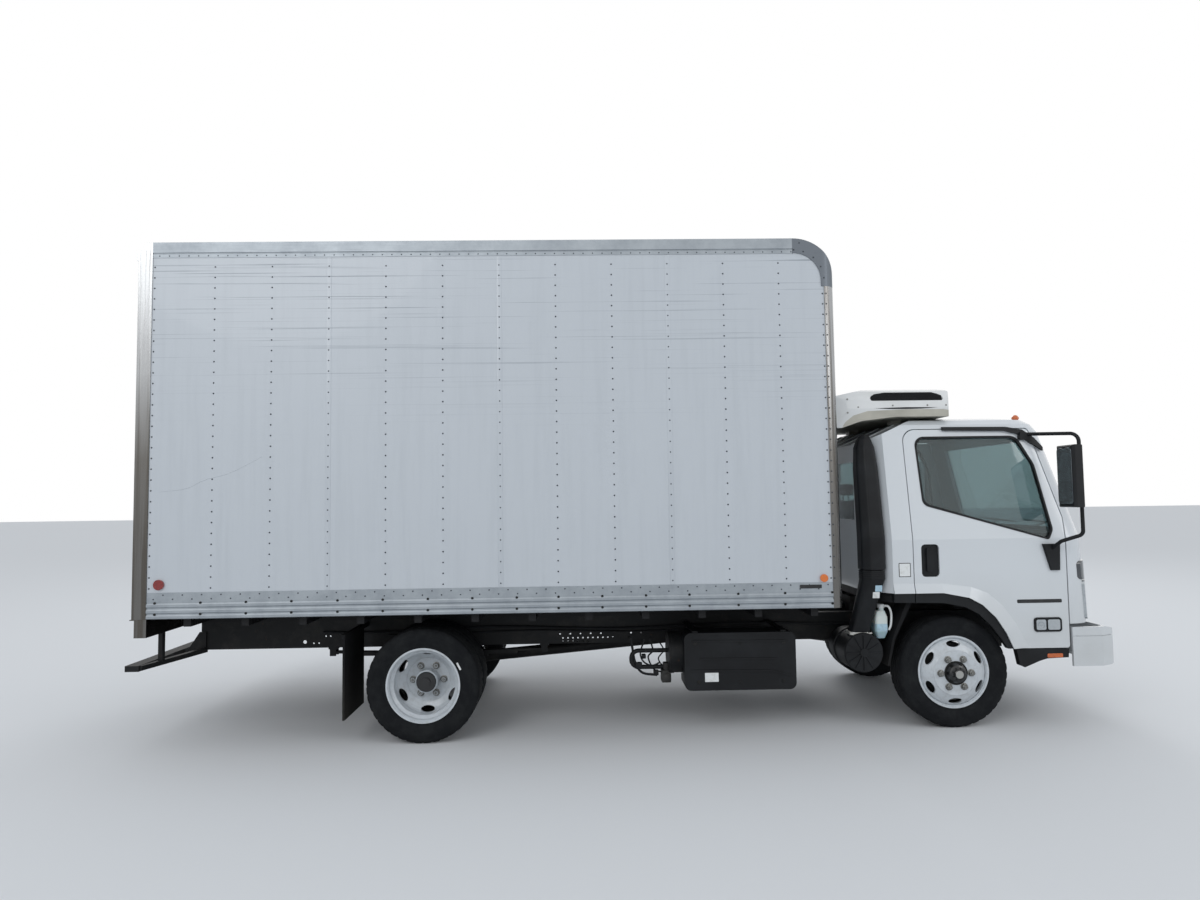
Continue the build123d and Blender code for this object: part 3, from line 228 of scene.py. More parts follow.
# Injection-moulded lens with fine prism flutes over a bright reflector; past a place it has another colour
def makeFlutedLens(name, bright, dark, flute, past=None):
    flutes = ("Wave", flute, "Y")
    layers = {"flutes": (dark, flutes, ("Voronoi", flute * 2))}
    if past:
        layers["past"] = past
    return makeMaterial(name, {"Roughness": 0.08, "IOR": 1.5, "Coat Weight": 0.8, "Coat Roughness": 0.03},
                        bright, layers, relief=(flutes, 0.4, 0.5))


# Zinc-plated steel fasteners and clamps: dull silver going brown or dark in specks
def makeZincPlate(name, zinc, corroded):
    return makeMaterial(name, {"Metallic": 0.9}, zinc,
                        {"corrosion": (corroded, (ranged, plateSpecks, 0.4, 0.7))},
                        {"Roughness": (ranged, plateSpecks, 0, 1, 0.6, 0.3)})


# Printed vinyl label: flat colour, lifting a little and soiled
def makeVinyl(name, colour, soiled):
    return makeMaterial(name, {"Roughness": 0.4, "IOR": 1.5}, colour,
                        {"soil": (soiled, (ranged, labelSoil, 0.5, 0.8))}, relief=(labelSoil, 0.2, 0.3))


finishes = {
    # Two-pack enamel on pressed steel: a clear gloss with faint orange peel, road dust gathering low down
    # Its greyed white is partly the enamel's colour and partly painted shade of the cab's shaded side
    "white_paint": makeMaterial(
        "cabEnamel", {"Roughness": 0.26, "Coat Weight": 0.6, "Coat Roughness": 0.06}, "#C9CED2",
        {"roadDust": ("#9B9A94", (byHeight, 1.15, 0.55, 0.55), ("Noise", 333.3, 6.0))},
        relief=(("Noise", 7, 1.0), 0.25, 0.05)),
    # Pre-painted aluminium sheet: slightly buckled between its posts, grime run down from the top rail,
    # and level scuffs in the upper half where branches and docks brushed it
    # Its grey-blue white is partly the paint's colour and partly painted shade of the truck's shaded side
    "white_panel": makeMaterial(
        "paintedSheet", {"Roughness": 0.36, "Coat Weight": 0.15}, "#B8BEC4",
        {"grime": ("#8D949B", (ranged, (stretched, ("Noise", 454.5, 7.0, 0.65), (7.0, 7.0, 0.45)),
                               0.46, 0.85, 0.18)),
         "scuffs": ("#6F7882", (ranged, (stretched, ("Noise", 625, 5.0, 0.6), (0.28, 0.5, 42.0),
                                         (0, 0.012, 0)), 0.58, 0.68),
                    (byHeight, 2.1, 3.3, 0.75), (beyond, "Z", 3.42, "LESS_THAN"))},
        relief=(("Noise", 420, 1.0), 0.5, 5.0)),
    # Enamelled steel wheels: white paint, brake dust in the dish, a black hub and a bare cap on the front
    # ones, and the inner side behind the disc near-black: brake soot, and painted shade of that hidden side
    "white_wheel": makeMaterial(
        "wheelEnamel", {"Roughness": 0.32, "Coat Weight": 0.3}, "#BEC4C9",
        {"brakeDust": ("#85847F", (ranged, ("Noise", 38.46, 8.0, 0.7), 0.45, 0.8, 0.45)),
         "hub": ("#121315", (nearAxle, 0.0715)), "cap": ("#9A9A97", (nearAxle, 0.0275), atFront),
         "sootAndPaintedShade": ("#1C1B1A", (behindDisc, 0.888, 0.812))},
        relief=(("Noise", 4, 2.0), 0.3, 0.12)),
    # Mill-finish aluminium extrusion: die lines along its length, dull grey oxide in patches
    "mill_aluminium": makeMaterial(
        "extrudedAluminium", {"Metallic": 0.85}, "#A0A7AD",
        {"oxide": ("#8A9198", (ranged, ("Noise", 200, 7.0, 0.7), 0.4, 0.75)), "cap": castCap},
        {"Roughness": (ranged, dieLines, 0, 1, 0.6, 0.4)}, (dieLines, 0.25, 0.1)),
    # Bright stainless sheet folded round the corners: mirror-like, its reflections drawn out by upright
    # ripples; its dark upright streaks are painted reflections, and its brown darkening lower down is a
    # painted reflection of dark surroundings
    "stainless": makeMaterial(
        "stainlessSheet", {}, "#A3A5A7",
        {"paintedReflectionStreaks": ("#5F5C58", (ranged, ripples, 0.5, 0.62, 0.75)),
         "paintedLowReflection": ("#514B42", (byHeight, 2.6, 2.0, 0.7)), "cap": castCap},
        {"Roughness": (joined, "ADD", (ranged, ripples, 0, 1, 0.34, 0.14), (ranged, boxCap, 0, 1, 0.3)),
         "Metallic": (ranged, boxCap, 0, 1, 0.85, 1.0)}, (ripples, 0.5, 2.5)),
    # Chassis enamel over rolled steel: satin black, road dust on it and rust breaking through in spots
    "black_chassis": makeMaterial(
        "chassisPaint", {"Roughness": 0.55, "Specular IOR Level": 0.25}, "#141618",
        {"dust": ("#3A3834", (ranged, ("Noise", 200, 8.0, 0.7), 0.48, 0.85, 0.8)),
         "rust": ("#3E2A1D", (ranged, ("Noise", 45.45, 6.0, 0.75), 0.62, 0.72))},
        relief=(("Noise", 3.0, 3.0), 0.35, 0.3)),
    # Sand-cast iron: dark grey, pitted by the sand, oily in places
    "cast_grey": makeMaterial(
        "castIron", {"Metallic": 0.4, "Roughness": 0.7}, "#3A3A39",
        {"oil": ("#1C1B1A", (ranged, ("Noise", 111.1, 5.0), 0.45, 0.7))},
        relief=(("Voronoi", 1.6), 0.5, 0.3)),
    # Moulded polypropylene, greying in the sun; its spark-eroded grain is 1 mm, drawn coarser to show
    "black_plastic": makeMaterial(
        "grainedPolypropylene", {"Roughness": 0.5, "IOR": 1.49, "Specular IOR Level": 0.25}, "#101215",
        {"faded": ("#24272A", (ranged, ("Noise", 250, 6.0), 0.45, 0.8, 0.7))},
        relief=(("Voronoi", 2.2), 0.3, 0.15)),
    # Gel-coated moulding of the roof unit: glossy white with a faint ripple
    "white_plastic": makeMaterial(
        "gelcoat", {"Roughness": 0.24, "Coat Weight": 0.4, "IOR": 1.52}, "#D6D8D8",
        {"film": ("#B9BAB6", (ranged, ("Noise", 250, 6.0), 0.45, 0.85, 0.6))},
        relief=(("Noise", 60, 1.0), 0.2, 0.4)),
    # Vacuum-formed ABS under the roof unit: matt grey, chalked by the weather
    "beige_plastic": makeMaterial(
        "greyAbs", {"Roughness": 0.5, "IOR": 1.53}, "#B4B1A6",
        {"chalk": ("#9C9A8F", (ranged, ("Noise", 166.7, 6.0), 0.4, 0.75))},
        relief=(("Noise", 3.0, 2.0), 0.2, 0.1)),
    # Blow-moulded polyethylene bottle: milky, with the coolant showing through as a bluer lower half
    "bottle_plastic": makeMaterial(
        "polyethylene", {"Roughness": 0.42, "IOR": 1.51, "Subsurface Weight": 0.15}, "#C9D1CF",
        {"coolant": ("#9DB6BE", (byHeight, 0.749, 0.745))}, relief=(("Noise", 5, 2.0), 0.3, 0.2)),
    # The headlamp's upper box is dark, and the rearmost markers are red
    "lamp_lens": makeFlutedLens("clearPolycarbonate", "#A4AAAE", "#6E757A", 9,
                                ("#3E4246", (beyond, "Z", 1.048))),
    "marker_lens": makeFlutedLens("redAcrylic", "#8C130E", "#5F0B08", 5,
                                  ("#CF6A1C", (beyond, "X", axleX - 3))),
    "amber_lens": makeFlutedLens("amberAcrylic", "#CF6420", "#96440F", 5),
    # Moulded dash foil: dark grey with a leather grain
    "dash_plastic": makeMaterial(
        "dashFoil", {"Roughness": 0.62, "IOR": 1.5}, "#2A2C2F",
        {"worn": ("#3A3C3E", ("Noise", 200, 4.0))}, relief=(("Voronoi", 3.0), 0.4, 0.2)),
    # Woven polyester seat cloth: a soft sheen, sat-in patches paler; its 1.5 mm threads are drawn coarser
    "seat_fabric": makeMaterial(
        "seatCloth", {"Roughness": 0.9, "Sheen Weight": 0.3, "Sheen Roughness": 0.5}, "#33363B",
        {"worn": ("#4A4D52", ("Noise", 250, 3.0))},
        relief=((joined, "MULTIPLY", ("Wave", 6.0, "X"), ("Wave", 6.0, "Y")), 0.6, 0.6)),
    # Tinted float glass: green-grey body colour, a film of dust that dulls it a little
    "window_glass": makeMaterial(
        "tintedGlass",
        {"Base Color": "#A0B4B6", "Transmission Weight": 0.94, "IOR": 1.45, "Coat Weight": 0.3},
        sockets={"Roughness": (ranged, ("Noise", 166.7, 5.0), 0, 1, 0.05)}),
    # Carbon-black tyre rubber: matt, dusted and greying in patches
    "tyre_rubber": makeMaterial(
        "tyreRubber", {"Roughness": 0.78, "Specular IOR Level": 0.15}, "#121417",
        {"bloom": ("#222425", (ranged, ("Noise", 111.1, 7.0, 0.7), 0.42, 0.75))},
        relief=(("Noise", 4.0, 4.0), 0.35, 0.25)),
    # Extruded aluminium duct floor: ribs along the body, scraped bright on their tops; its steel bearers
    # underneath are near-black, painted shade of the box's underside
    "plywood_floor": makeMaterial(
        "ribbedFloor", {"Roughness": 0.6, "Specular IOR Level": 0.3}, "#101114",
        {"deck": ("#7F8284", deck), "scraped": ("#A5A8AA", deck, ribs)}, {"Metallic": deck}, (ribs, 0.8, 4)),
    # Compression-moulded flap rubber: dull black, splashed with dried mud towards its foot
    "rubber_flap": makeMaterial(
        "flapRubber", {"Roughness": 0.8, "Specular IOR Level": 0.2}, "#131416",
        {"mud": ("#3B3833", (byHeight, 0.55, 0.15, 0.8), splashes)}, relief=(splashes, 0.4, 0.4)),
}
slotOfNode = {entry["node"]: entry["material_slot"] for entry in frame["record"]["subparts"]}
for nodeName, node in nodes.items():
    node.data.materials.clear()
    node.data.materials.append(finishes[slotOfNode[nodeName]])

# Finishes that only the small pieces here wear, and the record's slot that each belongs to
extras = {
    "zincBolt": (makeZincPlate("zincPlate", "#8E908F", "#5E5A53"), "mill_aluminium"),
    # Rivet heads in dark grey: painted shade of their shadowed heads, not weathering
    "darkRivet": (makeZincPlate("shadeDarkRivetZinc", "#4C5157", "#34383C"), "mill_aluminium"),
    "brightClamp": (makeZincPlate("brightClamp", "#CFD0CE", "#A5A29A"), "stainless"),
    # Silvered mirror glass: near-perfect reflection with a few water marks
    "mirrorGlass": (makeMaterial("mirrorGlass", {"Metallic": 1.0, "Base Color": "#656C71"}, sockets={
        "Roughness": (ranged, ("Noise", 30, 4.0), 0.5, 1, 0.16, 0.02)}), "stainless"),
    "blackVinyl": (makeVinyl("blackVinyl", "#15171A", "#2C2D2E"), "black_plastic"),
    "whiteVinyl": (makeVinyl("whiteVinyl", "#DADDDD", "#B2B2AC"), "white_paint"),
    "blueVinyl": (makeVinyl("paleBlueVinyl", "#A9C6D6", "#8CA3AE"), "white_plastic"),
    "greyScratch": (makeVinyl("bareScratch", "#8A9299", "#A5ACB2"), "white_panel"),
}
print("finishes made:", len(finishes) + len(extras))


# Mesh tools. Each add function adds a form to a mesh in the making, in the truck's frame
meshing = {"weld": 0.00002, "sharpFrom": 32, "mostRounding": 0.45, "roundingSteps": 2, "roundness": 0.6,
           "cornerSteps": 6, "plateEdge": 0.3}  # metres, degrees; shares of the thickness, steps


# Makes a piece out of a list of (add function, what it takes); the last number of a row is the steps round a
# turned form or a tube, or the rounding of a bar's edges in millimetres
def newPiece(name, parts, finish, body, replaced=()):
    shape = bmesh.new()
    for addPart, *values in parts:
        addPart(shape, *values)
    material, slotName = extras[finish] if finish in extras else (finishes[finish], finish)
    bmesh.ops.remove_doubles(shape, verts=shape.verts, dist=meshing["weld"])
    bmesh.ops.recalc_face_normals(shape, faces=shape.faces)
    for face in shape.faces:
        face.smooth = True
    mesh = bpy.data.meshes.new(name)
    shape.to_mesh(mesh)
    shape.free()
    mesh.materials.append(material)
    mesh.set_sharp_from_angle(angle=radians(meshing["sharpFrom"]))
    piece = addObject(name, mesh)
    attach(piece, body)
    if replaced:
        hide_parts(*replaced)
    return piece


# Skins a row of closed point rings with faces; a ring of one point closes to a tip
def addSkin(shape, rings, capEnds=True):
    rows = [[shape.verts.new(point) for point in ring] for ring in rings]
    for low, high in zip(rows, rows[1:]):
        count = max(len(low), len(high))
        for i in range(count):
            j = (i + 1) % count
            if len(low) == 1:
                shape.faces.new((low[0], high[j], high[i]))
            elif len(high) == 1:
                shape.faces.new((low[i], low[j], high[0]))
            else:
                shape.faces.new((low[i], low[j], high[j], high[i]))
    if capEnds:
        for row in (rows[0], rows[-1]):
            if len(row) > 2:
                shape.faces.new(row)


# Turns a profile of (radius, distance along) about an axis through centre
def addTurned(shape, centre, axis, profile, steps):
    axis = Vector(axis).normalized()
    across = axis.orthogonal().normalized()
    upward = axis.cross(across)
    angles = [2 * pi * i / steps for i in range(steps)]
    rings = []
    for radius, along in profile:
        middle = centre + axis * along * mm
        rings.append([middle + (across * cos(a) + upward * sin(a)) * radius * mm for a in angles]
                     if radius else [middle])
    addSkin(shape, rings)


# Bar with its edges rounded over, from corner to corner
def addBar(shape, low, high, edge):
    low, high = place(*low), place(*high)
    size = [abs(b - a) for a, b in zip(low, high)]
    at = Matrix.Translation((low + high) / 2) @ Matrix.Diagonal((*size, 1))
    made = bmesh.ops.create_cube(shape, size=1, matrix=at)
    edges = {e for v in made["verts"] for e in v.link_edges}
    width = min(edge * mm, min(size) * meshing["mostRounding"])
    bmesh.ops.bevel(shape, geom=list(edges), offset=width, segments=meshing["roundingSteps"], affect="EDGES",
                    profile=meshing["roundness"])


# Smooth line through a few points, so many steps between each two
def smoothLine(points, steps):
    points = [Vector(p) for p in points]
    padded = [points[0] * 2 - points[1]] + points + [points[-1] * 2 - points[-2]]
    line = []
    for a, b, c, d in zip(padded, padded[1:], padded[2:], padded[3:]):
        for i in range(steps):
            t = i / steps
            line.append(0.5 * ((2 * b) + (c - a) * t + (2 * a - 5 * b + 4 * c - d) * t * t
                               + (3 * b - a - 3 * c + d) * t ** 3))
    return line + [points[-1]]


# Round tube along a line; radius in millimetres, or one radius for each point
def addTube(shape, line, radius, steps):
    angles = [2 * pi * k / steps for k in range(steps)]
    rings = []
    side = None
    for i, point in enumerate(line):
        ahead = (line[min(i + 1, len(line) - 1)] - line[max(i - 1, 0)]).normalized()
        side = ahead.orthogonal() if side is None else side - ahead * side.dot(ahead)
        side.normalize()
        up = ahead.cross(side)
        wide = (radius[i] if isinstance(radius, (list, tuple)) else radius) * mm
        rings.append([point + (side * cos(a) + up * sin(a)) * wide for a in angles])
    addSkin(shape, rings)


# Flat plate of a rounded rectangle, standing out from its centre
def addPlate(shape, centre, out, size, corner, thick, upward=(0, 0, 1)):
    out, upward = Vector(out), Vector(upward).normalized()
    across = upward.cross(out)
    cornerSteps, edge = meshing["cornerSteps"], meshing["plateEdge"] * thick
    ring = []
    for quarter, (sx, sy) in enumerate(((1, 1), (-1, 1), (-1, -1), (1, -1))):
        middle = Vector((sx * (size[0] / 2 - corner), sy * (size[1] / 2 - corner)))
        for k in range(cornerSteps + 1):
            angle = (quarter + k / cornerSteps) * pi / 2
            ring.append(middle + Vector((cos(angle), sin(angle))) * corner)
    rings = []
    for inset, along in ((0.0, 0.0), (0.0, thick - edge), (min(edge, corner / 2), thick)):
        shrinkX, shrinkY = 1 - 2 * inset / size[0], 1 - 2 * inset / size[1]
        rings.append([centre + (across * p.x * shrinkX + upward * p.y * shrinkY + out * along) * mm
                      for p in ring])
    addSkin(shape, rings)


# Snap-head rivet and hex nut on a face that looks along out; profiles are in shares of the radius, and of the
# rivet's height or in millimetres from the nut's foot or top
rivetHead = {"sunk": -0.3, "profile": ((0.86, 0.62), (0.45, 1), (0, 1.08)), "steps": 8}
hexNut = {"flange": ((1.22, 0), (1.22, 2.5), (1.12, 3.5)), "flangeSteps": 20, "foot": 2, "chamfer": (2, 0.88),
          "stud": ((1, -2), (1, 5), (0.8, 7)), "studSteps": 12}


def addRivet(shape, centre, out, radius, high=0.5):
    profile = [(radius * wide, radius * high * tall) for wide, tall in rivetHead["profile"]]
    addTurned(shape, centre, out, [(radius, rivetHead["sunk"])] + profile, rivetHead["steps"])


def addHexNut(shape, centre, out, radius, tall, stud):
    chamferTall, chamfer = hexNut["chamfer"]
    flange = [(radius * wide, along) for wide, along in hexNut["flange"]]
    body = [(radius, hexNut["foot"]), (radius, tall - chamferTall), (radius * chamfer, tall)]
    end = [(stud * wide, tall + along) for wide, along in hexNut["stud"]]
    for profile, steps in ((flange, hexNut["flangeSteps"]), (body, 6), (end, hexNut["studSteps"])):
        addTurned(shape, centre, out, profile, steps)


# A place on one side of the truck, y millimetres from its middle, and the way out from there
def onSide(sign, x, y, z):
    return place(x, sign * y, z), (0, sign, 0)


# Values from start to end at an even pitch
def every(pitch, start, end):
    return [start + k * pitch for k in range(int((end - start) / pitch) + 1)]


# (x, z) of points spread evenly round a middle, the first one shifted by part of a step
def around(x, z, radius, count, shift=0.0):
    angles = [2 * pi * (k + shift) / count for k in range(count)]
    return [(x + radius * cos(a), z + radius * sin(a)) for a in angles]


print("mesh tools ready")

# Tyres: ribbed highway tread with notched shoulders, bead and rim-guard rings on the sidewall
tyre = {
    "steps": 200, "notchEvery": 5, "notchDepth": 4.5, "shoulder": (384, 70),
    "halfProfile": [
        (252, 78), (258, 88), (264, 95), (270, 98), (273, 97), (277, 98.5), (282, 102), (300, 107.5),
        (318, 111.5), (332, 113), (343, 112.6), (345, 111), (348, 110.8), (350, 111.6), (362, 109),
        (374, 105.5), (382, 102), (385, 98.5), (389, 97.5), (395.2, 90), (397, 84), (397.4, 58),
        (389, 56.5), (389, 49.5), (397.6, 48), (397.8, 23), (389.5, 21.5), (389.5, 14.5), (398, 13)],
}
tyreSets = (  # piece, body, node that it stands for, axle, distances from the truck's middle
    ("treadedTyreFront_", "front_wheel_", "front_tyre_", 0, (832.5,)),
    ("treadedTyresRear_", "rear_wheels_", "rear_tyres_", rearAxle, (694.5, 956.5)),
)


def addTyre(shape, axle, middle, values):
    half = values["halfProfile"]
    steps = values["steps"]
    shoulderRadius, shoulderStart = values["shoulder"]
    rings = []
    for i in range(steps):
        angle = 2 * pi * i / steps
        ring = []
        for radius, across in half + [(radius, -across) for radius, across in reversed(half)]:
            if i % values["notchEvery"] == 0 and radius > shoulderRadius and abs(across) > shoulderStart:
                radius -= values["notchDepth"]
            ring.append(place(axle + radius * cos(angle), middle + across,
                              hubZ + radius * sin(angle)))
        rings.append(ring)
    addSkin(shape, rings + rings[:1], False)


for sideName, sign in sides:
    for name, body, node, axle, middles in tyreSets:
        newPiece(name + sideName, [(addTyre, axle, sign * y, tyre) for y in middles], "tyre_rubber",
                 body + sideName, [node + sideName])
print("tyres made")

# Wheel nuts over the plain studs of the part, hub cap screws, the brake drum behind the front disc and the
# black flange round its hub
wheelNuts = {"circle": 111.1, "count": 6, "radius": 21.5, "tall": 23, "stud": 10.5}
hubScrews = {"count": 8, "sunk": 8, "profile": [(6, 0), (6, 11), (4.6, 13)]}
wheelSets = (  # tag, body, axle, face of the disc, face of the hub, radius of the screws' circle
    ("Front_", "front_wheel_", 0, 963.5, 1003, 42),
    ("Rear_", "rear_wheels_", rearAxle, 836.5, 921, 66),
)
turnedRounds = (  # piece, profile of (radius, distance from the truck's middle)
    ("brakeDrum_", [(96, 800), (200, 800), (206, 806), (206, 862), (198, 872), (150, 876), (96, 876)]),
    ("hubFlange_", [(60, 962.5), (85, 962.5), (85, 966.5), (82, 968.5), (60, 968.5)]),
)
for sideName, sign in sides:
    for tag, body, axle, face, hubFace, hubCircle in wheelSets:
        newPiece("hexNuts" + tag + sideName, [
            (addHexNut, *onSide(sign, x, face, z), wheelNuts["radius"], wheelNuts["tall"], wheelNuts["stud"])
            for x, z in around(axle, hubZ, wheelNuts["circle"], wheelNuts["count"])],
            "zincBolt", body + sideName)
        newPiece("hubScrews" + tag + sideName, [
            (addTurned, *onSide(sign, x, hubFace - hubScrews["sunk"], z), hubScrews["profile"], 6)
            for x, z in around(axle, hubZ, hubCircle, hubScrews["count"], 0.5)],
            "black_chassis", body + sideName)
    for name, profile in turnedRounds:
        newPiece(name + sideName, [(addTurned, *onSide(sign, 0, 0, hubZ), profile, 48)], "black_chassis",
                 "front_wheel_" + sideName)

# Chalk mark on the outer rear tyre
chalk = {"at": (-3558, 1060.5, 530), "up": (0.886, 0, 0.46), "size": (56, 13), "corner": 4, "thick": 1.5}
newPiece("tyreChalk", [(addPlate, *onSide(-1, *chalk["at"]), chalk["size"], chalk["corner"], chalk["thick"],
                        chalk["up"])], "whiteVinyl", "rear_wheels_right")
print("wheels dressed")

# Load box: snap rivets where the sheets meet the posts, down the folded post and round the corner cap, and
# laps at the sheet joints
boxSheet = {
    "firstColumn": -5217, "columnPitch": 394.5, "columns": 11, "edges": [-5632, -962], "skin": 1213,
    "low": 1118, "high": 3388, "rivetPitch": 74, "rivetRadius": 6,
    "postX": -937, "postY": 1216.5, "postTop": 3150, "postOut": 0.22, "capMiddle": (-1166, 3213),
    "capFace": 1219, "capRivets": ((4, 218), (26, 218), (48, 218), (70, 218), (88, 218), (80, 272)),
    "joints": (2, 5, 8), "lapWidth": 34, "lapThick": 1.6, "lapSunk": 0.5, "lapLow": 1095, "lapHigh": 3402,
}


def makeBoxSheet(values):
    columns = [values["firstColumn"] + values["columnPitch"] * k for k in range(values["columns"])]
    radius, skin, pitch = values["rivetRadius"], values["skin"], values["rivetPitch"]
    for sideName, sign in sides:
        rivets = [(addRivet, *onSide(sign, x, skin, z), radius) for x in columns + values["edges"]
                  for z in every(pitch, values["low"], values["high"])]
        rivets += [
            (addRivet, place(values["postX"], sign * values["postY"], z), (values["postOut"], sign, 0),
             radius) for z in every(pitch, values["low"], values["postTop"])]
        for angle, reach in values["capRivets"]:
            turn, (x, z) = radians(angle), values["capMiddle"]
            rivets.append((addRivet, *onSide(sign, x + reach * cos(turn), values["capFace"],
                                             z + reach * sin(turn)), radius))
        newPiece("sideRivets_" + sideName, rivets, "darkRivet", "root")
        half, inner, outer = values["lapWidth"] / 2, skin - values["lapSunk"], skin + values["lapThick"]
        newPiece("sheetLaps_" + sideName, [
            (addBar, (columns[k] - half, sign * inner, values["lapLow"]),
             (columns[k] + half, sign * outer, values["lapHigh"]), 0.6) for k in values["joints"]],
            "white_panel", "root")


makeBoxSheet(boxSheet)

# Rails of the box: a zigzag row on the bottom rail's flat band, a row along the top rail, and bolts in the
# bottom rail's grooves
boxRails = {
    "start": -5600, "end": -975,
    "bandY": 1215, "bandLevels": (1046, 1074), "bandPitch": 65, "bandRadius": 5.4,
    "topY": 1216, "topZ": 3417, "topPitch": 67, "topRadius": 5, "topHeight": 0.4,
    "boltY": 1214, "boltRows": (944, 1020), "boltHead": [(9, 0), (9, 3.5), (6.3, 4.6)],
    "bolts": [-5590, -5283, -4976, -4669, -4357, -4050, -3743, -3440, -3136, -2850, -2549, -2248, -1948,
              -1610, -1285, -957],
}


def makeBoxRails(values):
    bandPlaces = every(values["bandPitch"], values["start"], values["end"])
    topPlaces = every(values["topPitch"], values["start"], values["end"])
    for sideName, sign in sides:
        rivets = [
            (addRivet, *onSide(sign, x, values["bandY"], values["bandLevels"][k % 2]), values["bandRadius"])
            for k, x in enumerate(bandPlaces)]
        rivets += [(addRivet, *onSide(sign, x, values["topY"], values["topZ"]), values["topRadius"],
                    values["topHeight"]) for x in topPlaces]
        newPiece("railRivets_" + sideName, rivets, "darkRivet", "root")
        newPiece("railBolts_" + sideName, [
            (addTurned, *onSide(sign, x, values["boltY"], z), values["boltHead"], 8)
            for x in values["bolts"] for z in values["boltRows"]], "black_chassis", "root")


makeBoxRails(boxRails)
print("box rivets made")

# Long scratch in the rear panel
scratch = {"points": [(-5582, 1775), (-5400, 1794), (-5265, 1853), (-5096, 1899), (-4879, 2007)],
           "face": -1213.4, "width": 2.4, "endShare": 0.35, "proud": 0.0008, "sunk": 0.0003}


def makeScratch(values):
    line = smoothLine([place(x, values["face"], z) for x, z in values["points"]], 10)
    rings = []
    for i, point in enumerate(line):
        share = values["endShare"] + (1 - values["endShare"]) * sin(pi * i / (len(line) - 1))
        half = values["width"] * mm * share / 2
        rings.append([point + Vector((0, values["proud"], half)), point - Vector((0, values["sunk"], 0)),
                      point + Vector((0, values["proud"], -half))])
    newPiece("longScratch", [(addSkin, rings)], "greyScratch", "root")


makeScratch(scratch)

# Vent plug in the top rail
ventPlug = {"at": (-5536, 1213.5, 3473), "profile": [(13, 0), (13, 4), (11, 5), (10, 2.2), (0, 2.2)]}
newPiece("ventPlug", [(addTurned, *onSide(-1, *ventPlug["at"]), ventPlug["profile"], 20)],
         "blackVinyl", "root")

# Rear end: hinge rivets of the roll-up door's slats, rivets of its posts, and the latch
slatRivets = {"x": -5723, "columns": (-1080, -560, 0, 560, 1080), "slat": 323.5, "slats": 7, "floor": 1120,
              "apart": 40, "radius": 5}
postRivets = {"x": -5743, "y": 1200, "low": 1140, "pitch": 56, "count": 40, "radius": 4.5}
latch = {"plate": ((-5738.4, -47, 1178), (-5734, 47, 1352)), "lever": ((-5749, -92, 1268), (-5738, 32, 1298)),
         "screwX": -5738, "screws": ((-36, 1190), (36, 1190), (-36, 1340), (36, 1340)), "screw": 6}
rearward = (-1, 0, 0)
newPiece("slatRivets", [
    (addRivet, place(slatRivets["x"], y, slatRivets["floor"] + k * slatRivets["slat"] + offset), rearward,
     slatRivets["radius"]) for k in range(1, slatRivets["slats"]) for y in slatRivets["columns"]
    for offset in (slatRivets["apart"], -slatRivets["apart"])], "darkRivet", "root")
newPiece("rearPostRivets", [
    (addRivet, place(postRivets["x"], sign * postRivets["y"], postRivets["low"] + k * postRivets["pitch"]),
     rearward, postRivets["radius"]) for k in range(postRivets["count"]) for sign in (-1, 1)],
    "darkRivet", "root")
newPiece("doorLatch", [(addBar, *latch["plate"], 2), (addBar, *latch["lever"], 2)] + [
    (addRivet, place(latch["screwX"], y, z), rearward, latch["screw"]) for y, z in latch["screws"]],
    "zincBolt", "root")
print("box details made")

# Plates, strips and labels, all blank
blankPlates = (  # piece, its sides, place on a side, size, corner radius, thickness, finish, body
    ("placardBorder", (-1, 1), (-359.5, 1000.2, 1144.5), (87, 101), 6, 0.7, "blackVinyl", "cab"),
    ("placardFace", (-1, 1), (-359.5, 1000.9, 1144.5), (77, 91), 4, 0.5, "whiteVinyl", "cab"),
    ("badgeStrip_right", (-1,), (613, 1000.2, 907), (327, 26), 8, 1.2, "blackVinyl", "door_right"),
    ("badgeStrip_left", (1,), (613, 1000.2, 907), (327, 26), 8, 1.2, "blackVinyl", "door_left"),
    ("railStrip", (-1,), (-1106, 1218.8, 1062), (152, 25), 3, 0.2, "blackVinyl", "root"),
    ("coverLabel", (-1,), (-1766, 960.3, 399), (98, 64), 3, 0.8, "whiteVinyl", "root"),
    ("bottleLabel", (-1,), (-501, 900.6, 722), (74, 46), 4, 0.6, "blueVinyl", "root"),
)
for name, signs, at, size, corner, thick, finish, body in blankPlates:
    newPiece(name, [(addPlate, *onSide(sign, *at), size, corner, thick) for sign in signs], finish, body)
print("blank plates made")

# Cornering lamp in each door: two lens cells and a bulb, on the bezel's face
cornering = {"cells": ((578, 652), (662, 754)), "low": 700, "high": 777, "face": 1008, "gap": 4, "corner": 12,
             "thick": 1.2, "bulb": (614, 1009, 736),
             "bulbProfile": [(26, 0), (26, 1.4), (21, 2), (18, 0.8), (9, 0.8), (7, 2.4), (0, 3.2)]}
for sideName, sign in sides:
    middle, tall = (cornering["low"] + cornering["high"]) / 2, cornering["high"] - cornering["low"]
    cells = [(addPlate, *onSide(sign, (x0 + x1) / 2, cornering["face"], middle),
              (x1 - x0 - cornering["gap"], tall - cornering["gap"]), cornering["corner"], cornering["thick"])
             for x0, x1 in cornering["cells"]]
    bulb = (addTurned, *onSide(sign, *cornering["bulb"]), cornering["bulbProfile"], 24)
    newPiece("corneringLens_" + sideName, cells + [bulb], "lamp_lens", "door_" + sideName)

# Mirror glass, hugging each head's rear face
mirror = {"x": 721.5, "y": 1200, "z": 1803, "size": (168, 394), "corner": 24, "thick": 2.5}
for sideName, sign in sides:
    newPiece("mirrorGlass_" + sideName, [
        (addPlate, place(mirror["x"], sign * mirror["y"], mirror["z"]), rearward, mirror["size"],
         mirror["corner"], mirror["thick"])], "mirrorGlass", "door_" + sideName)

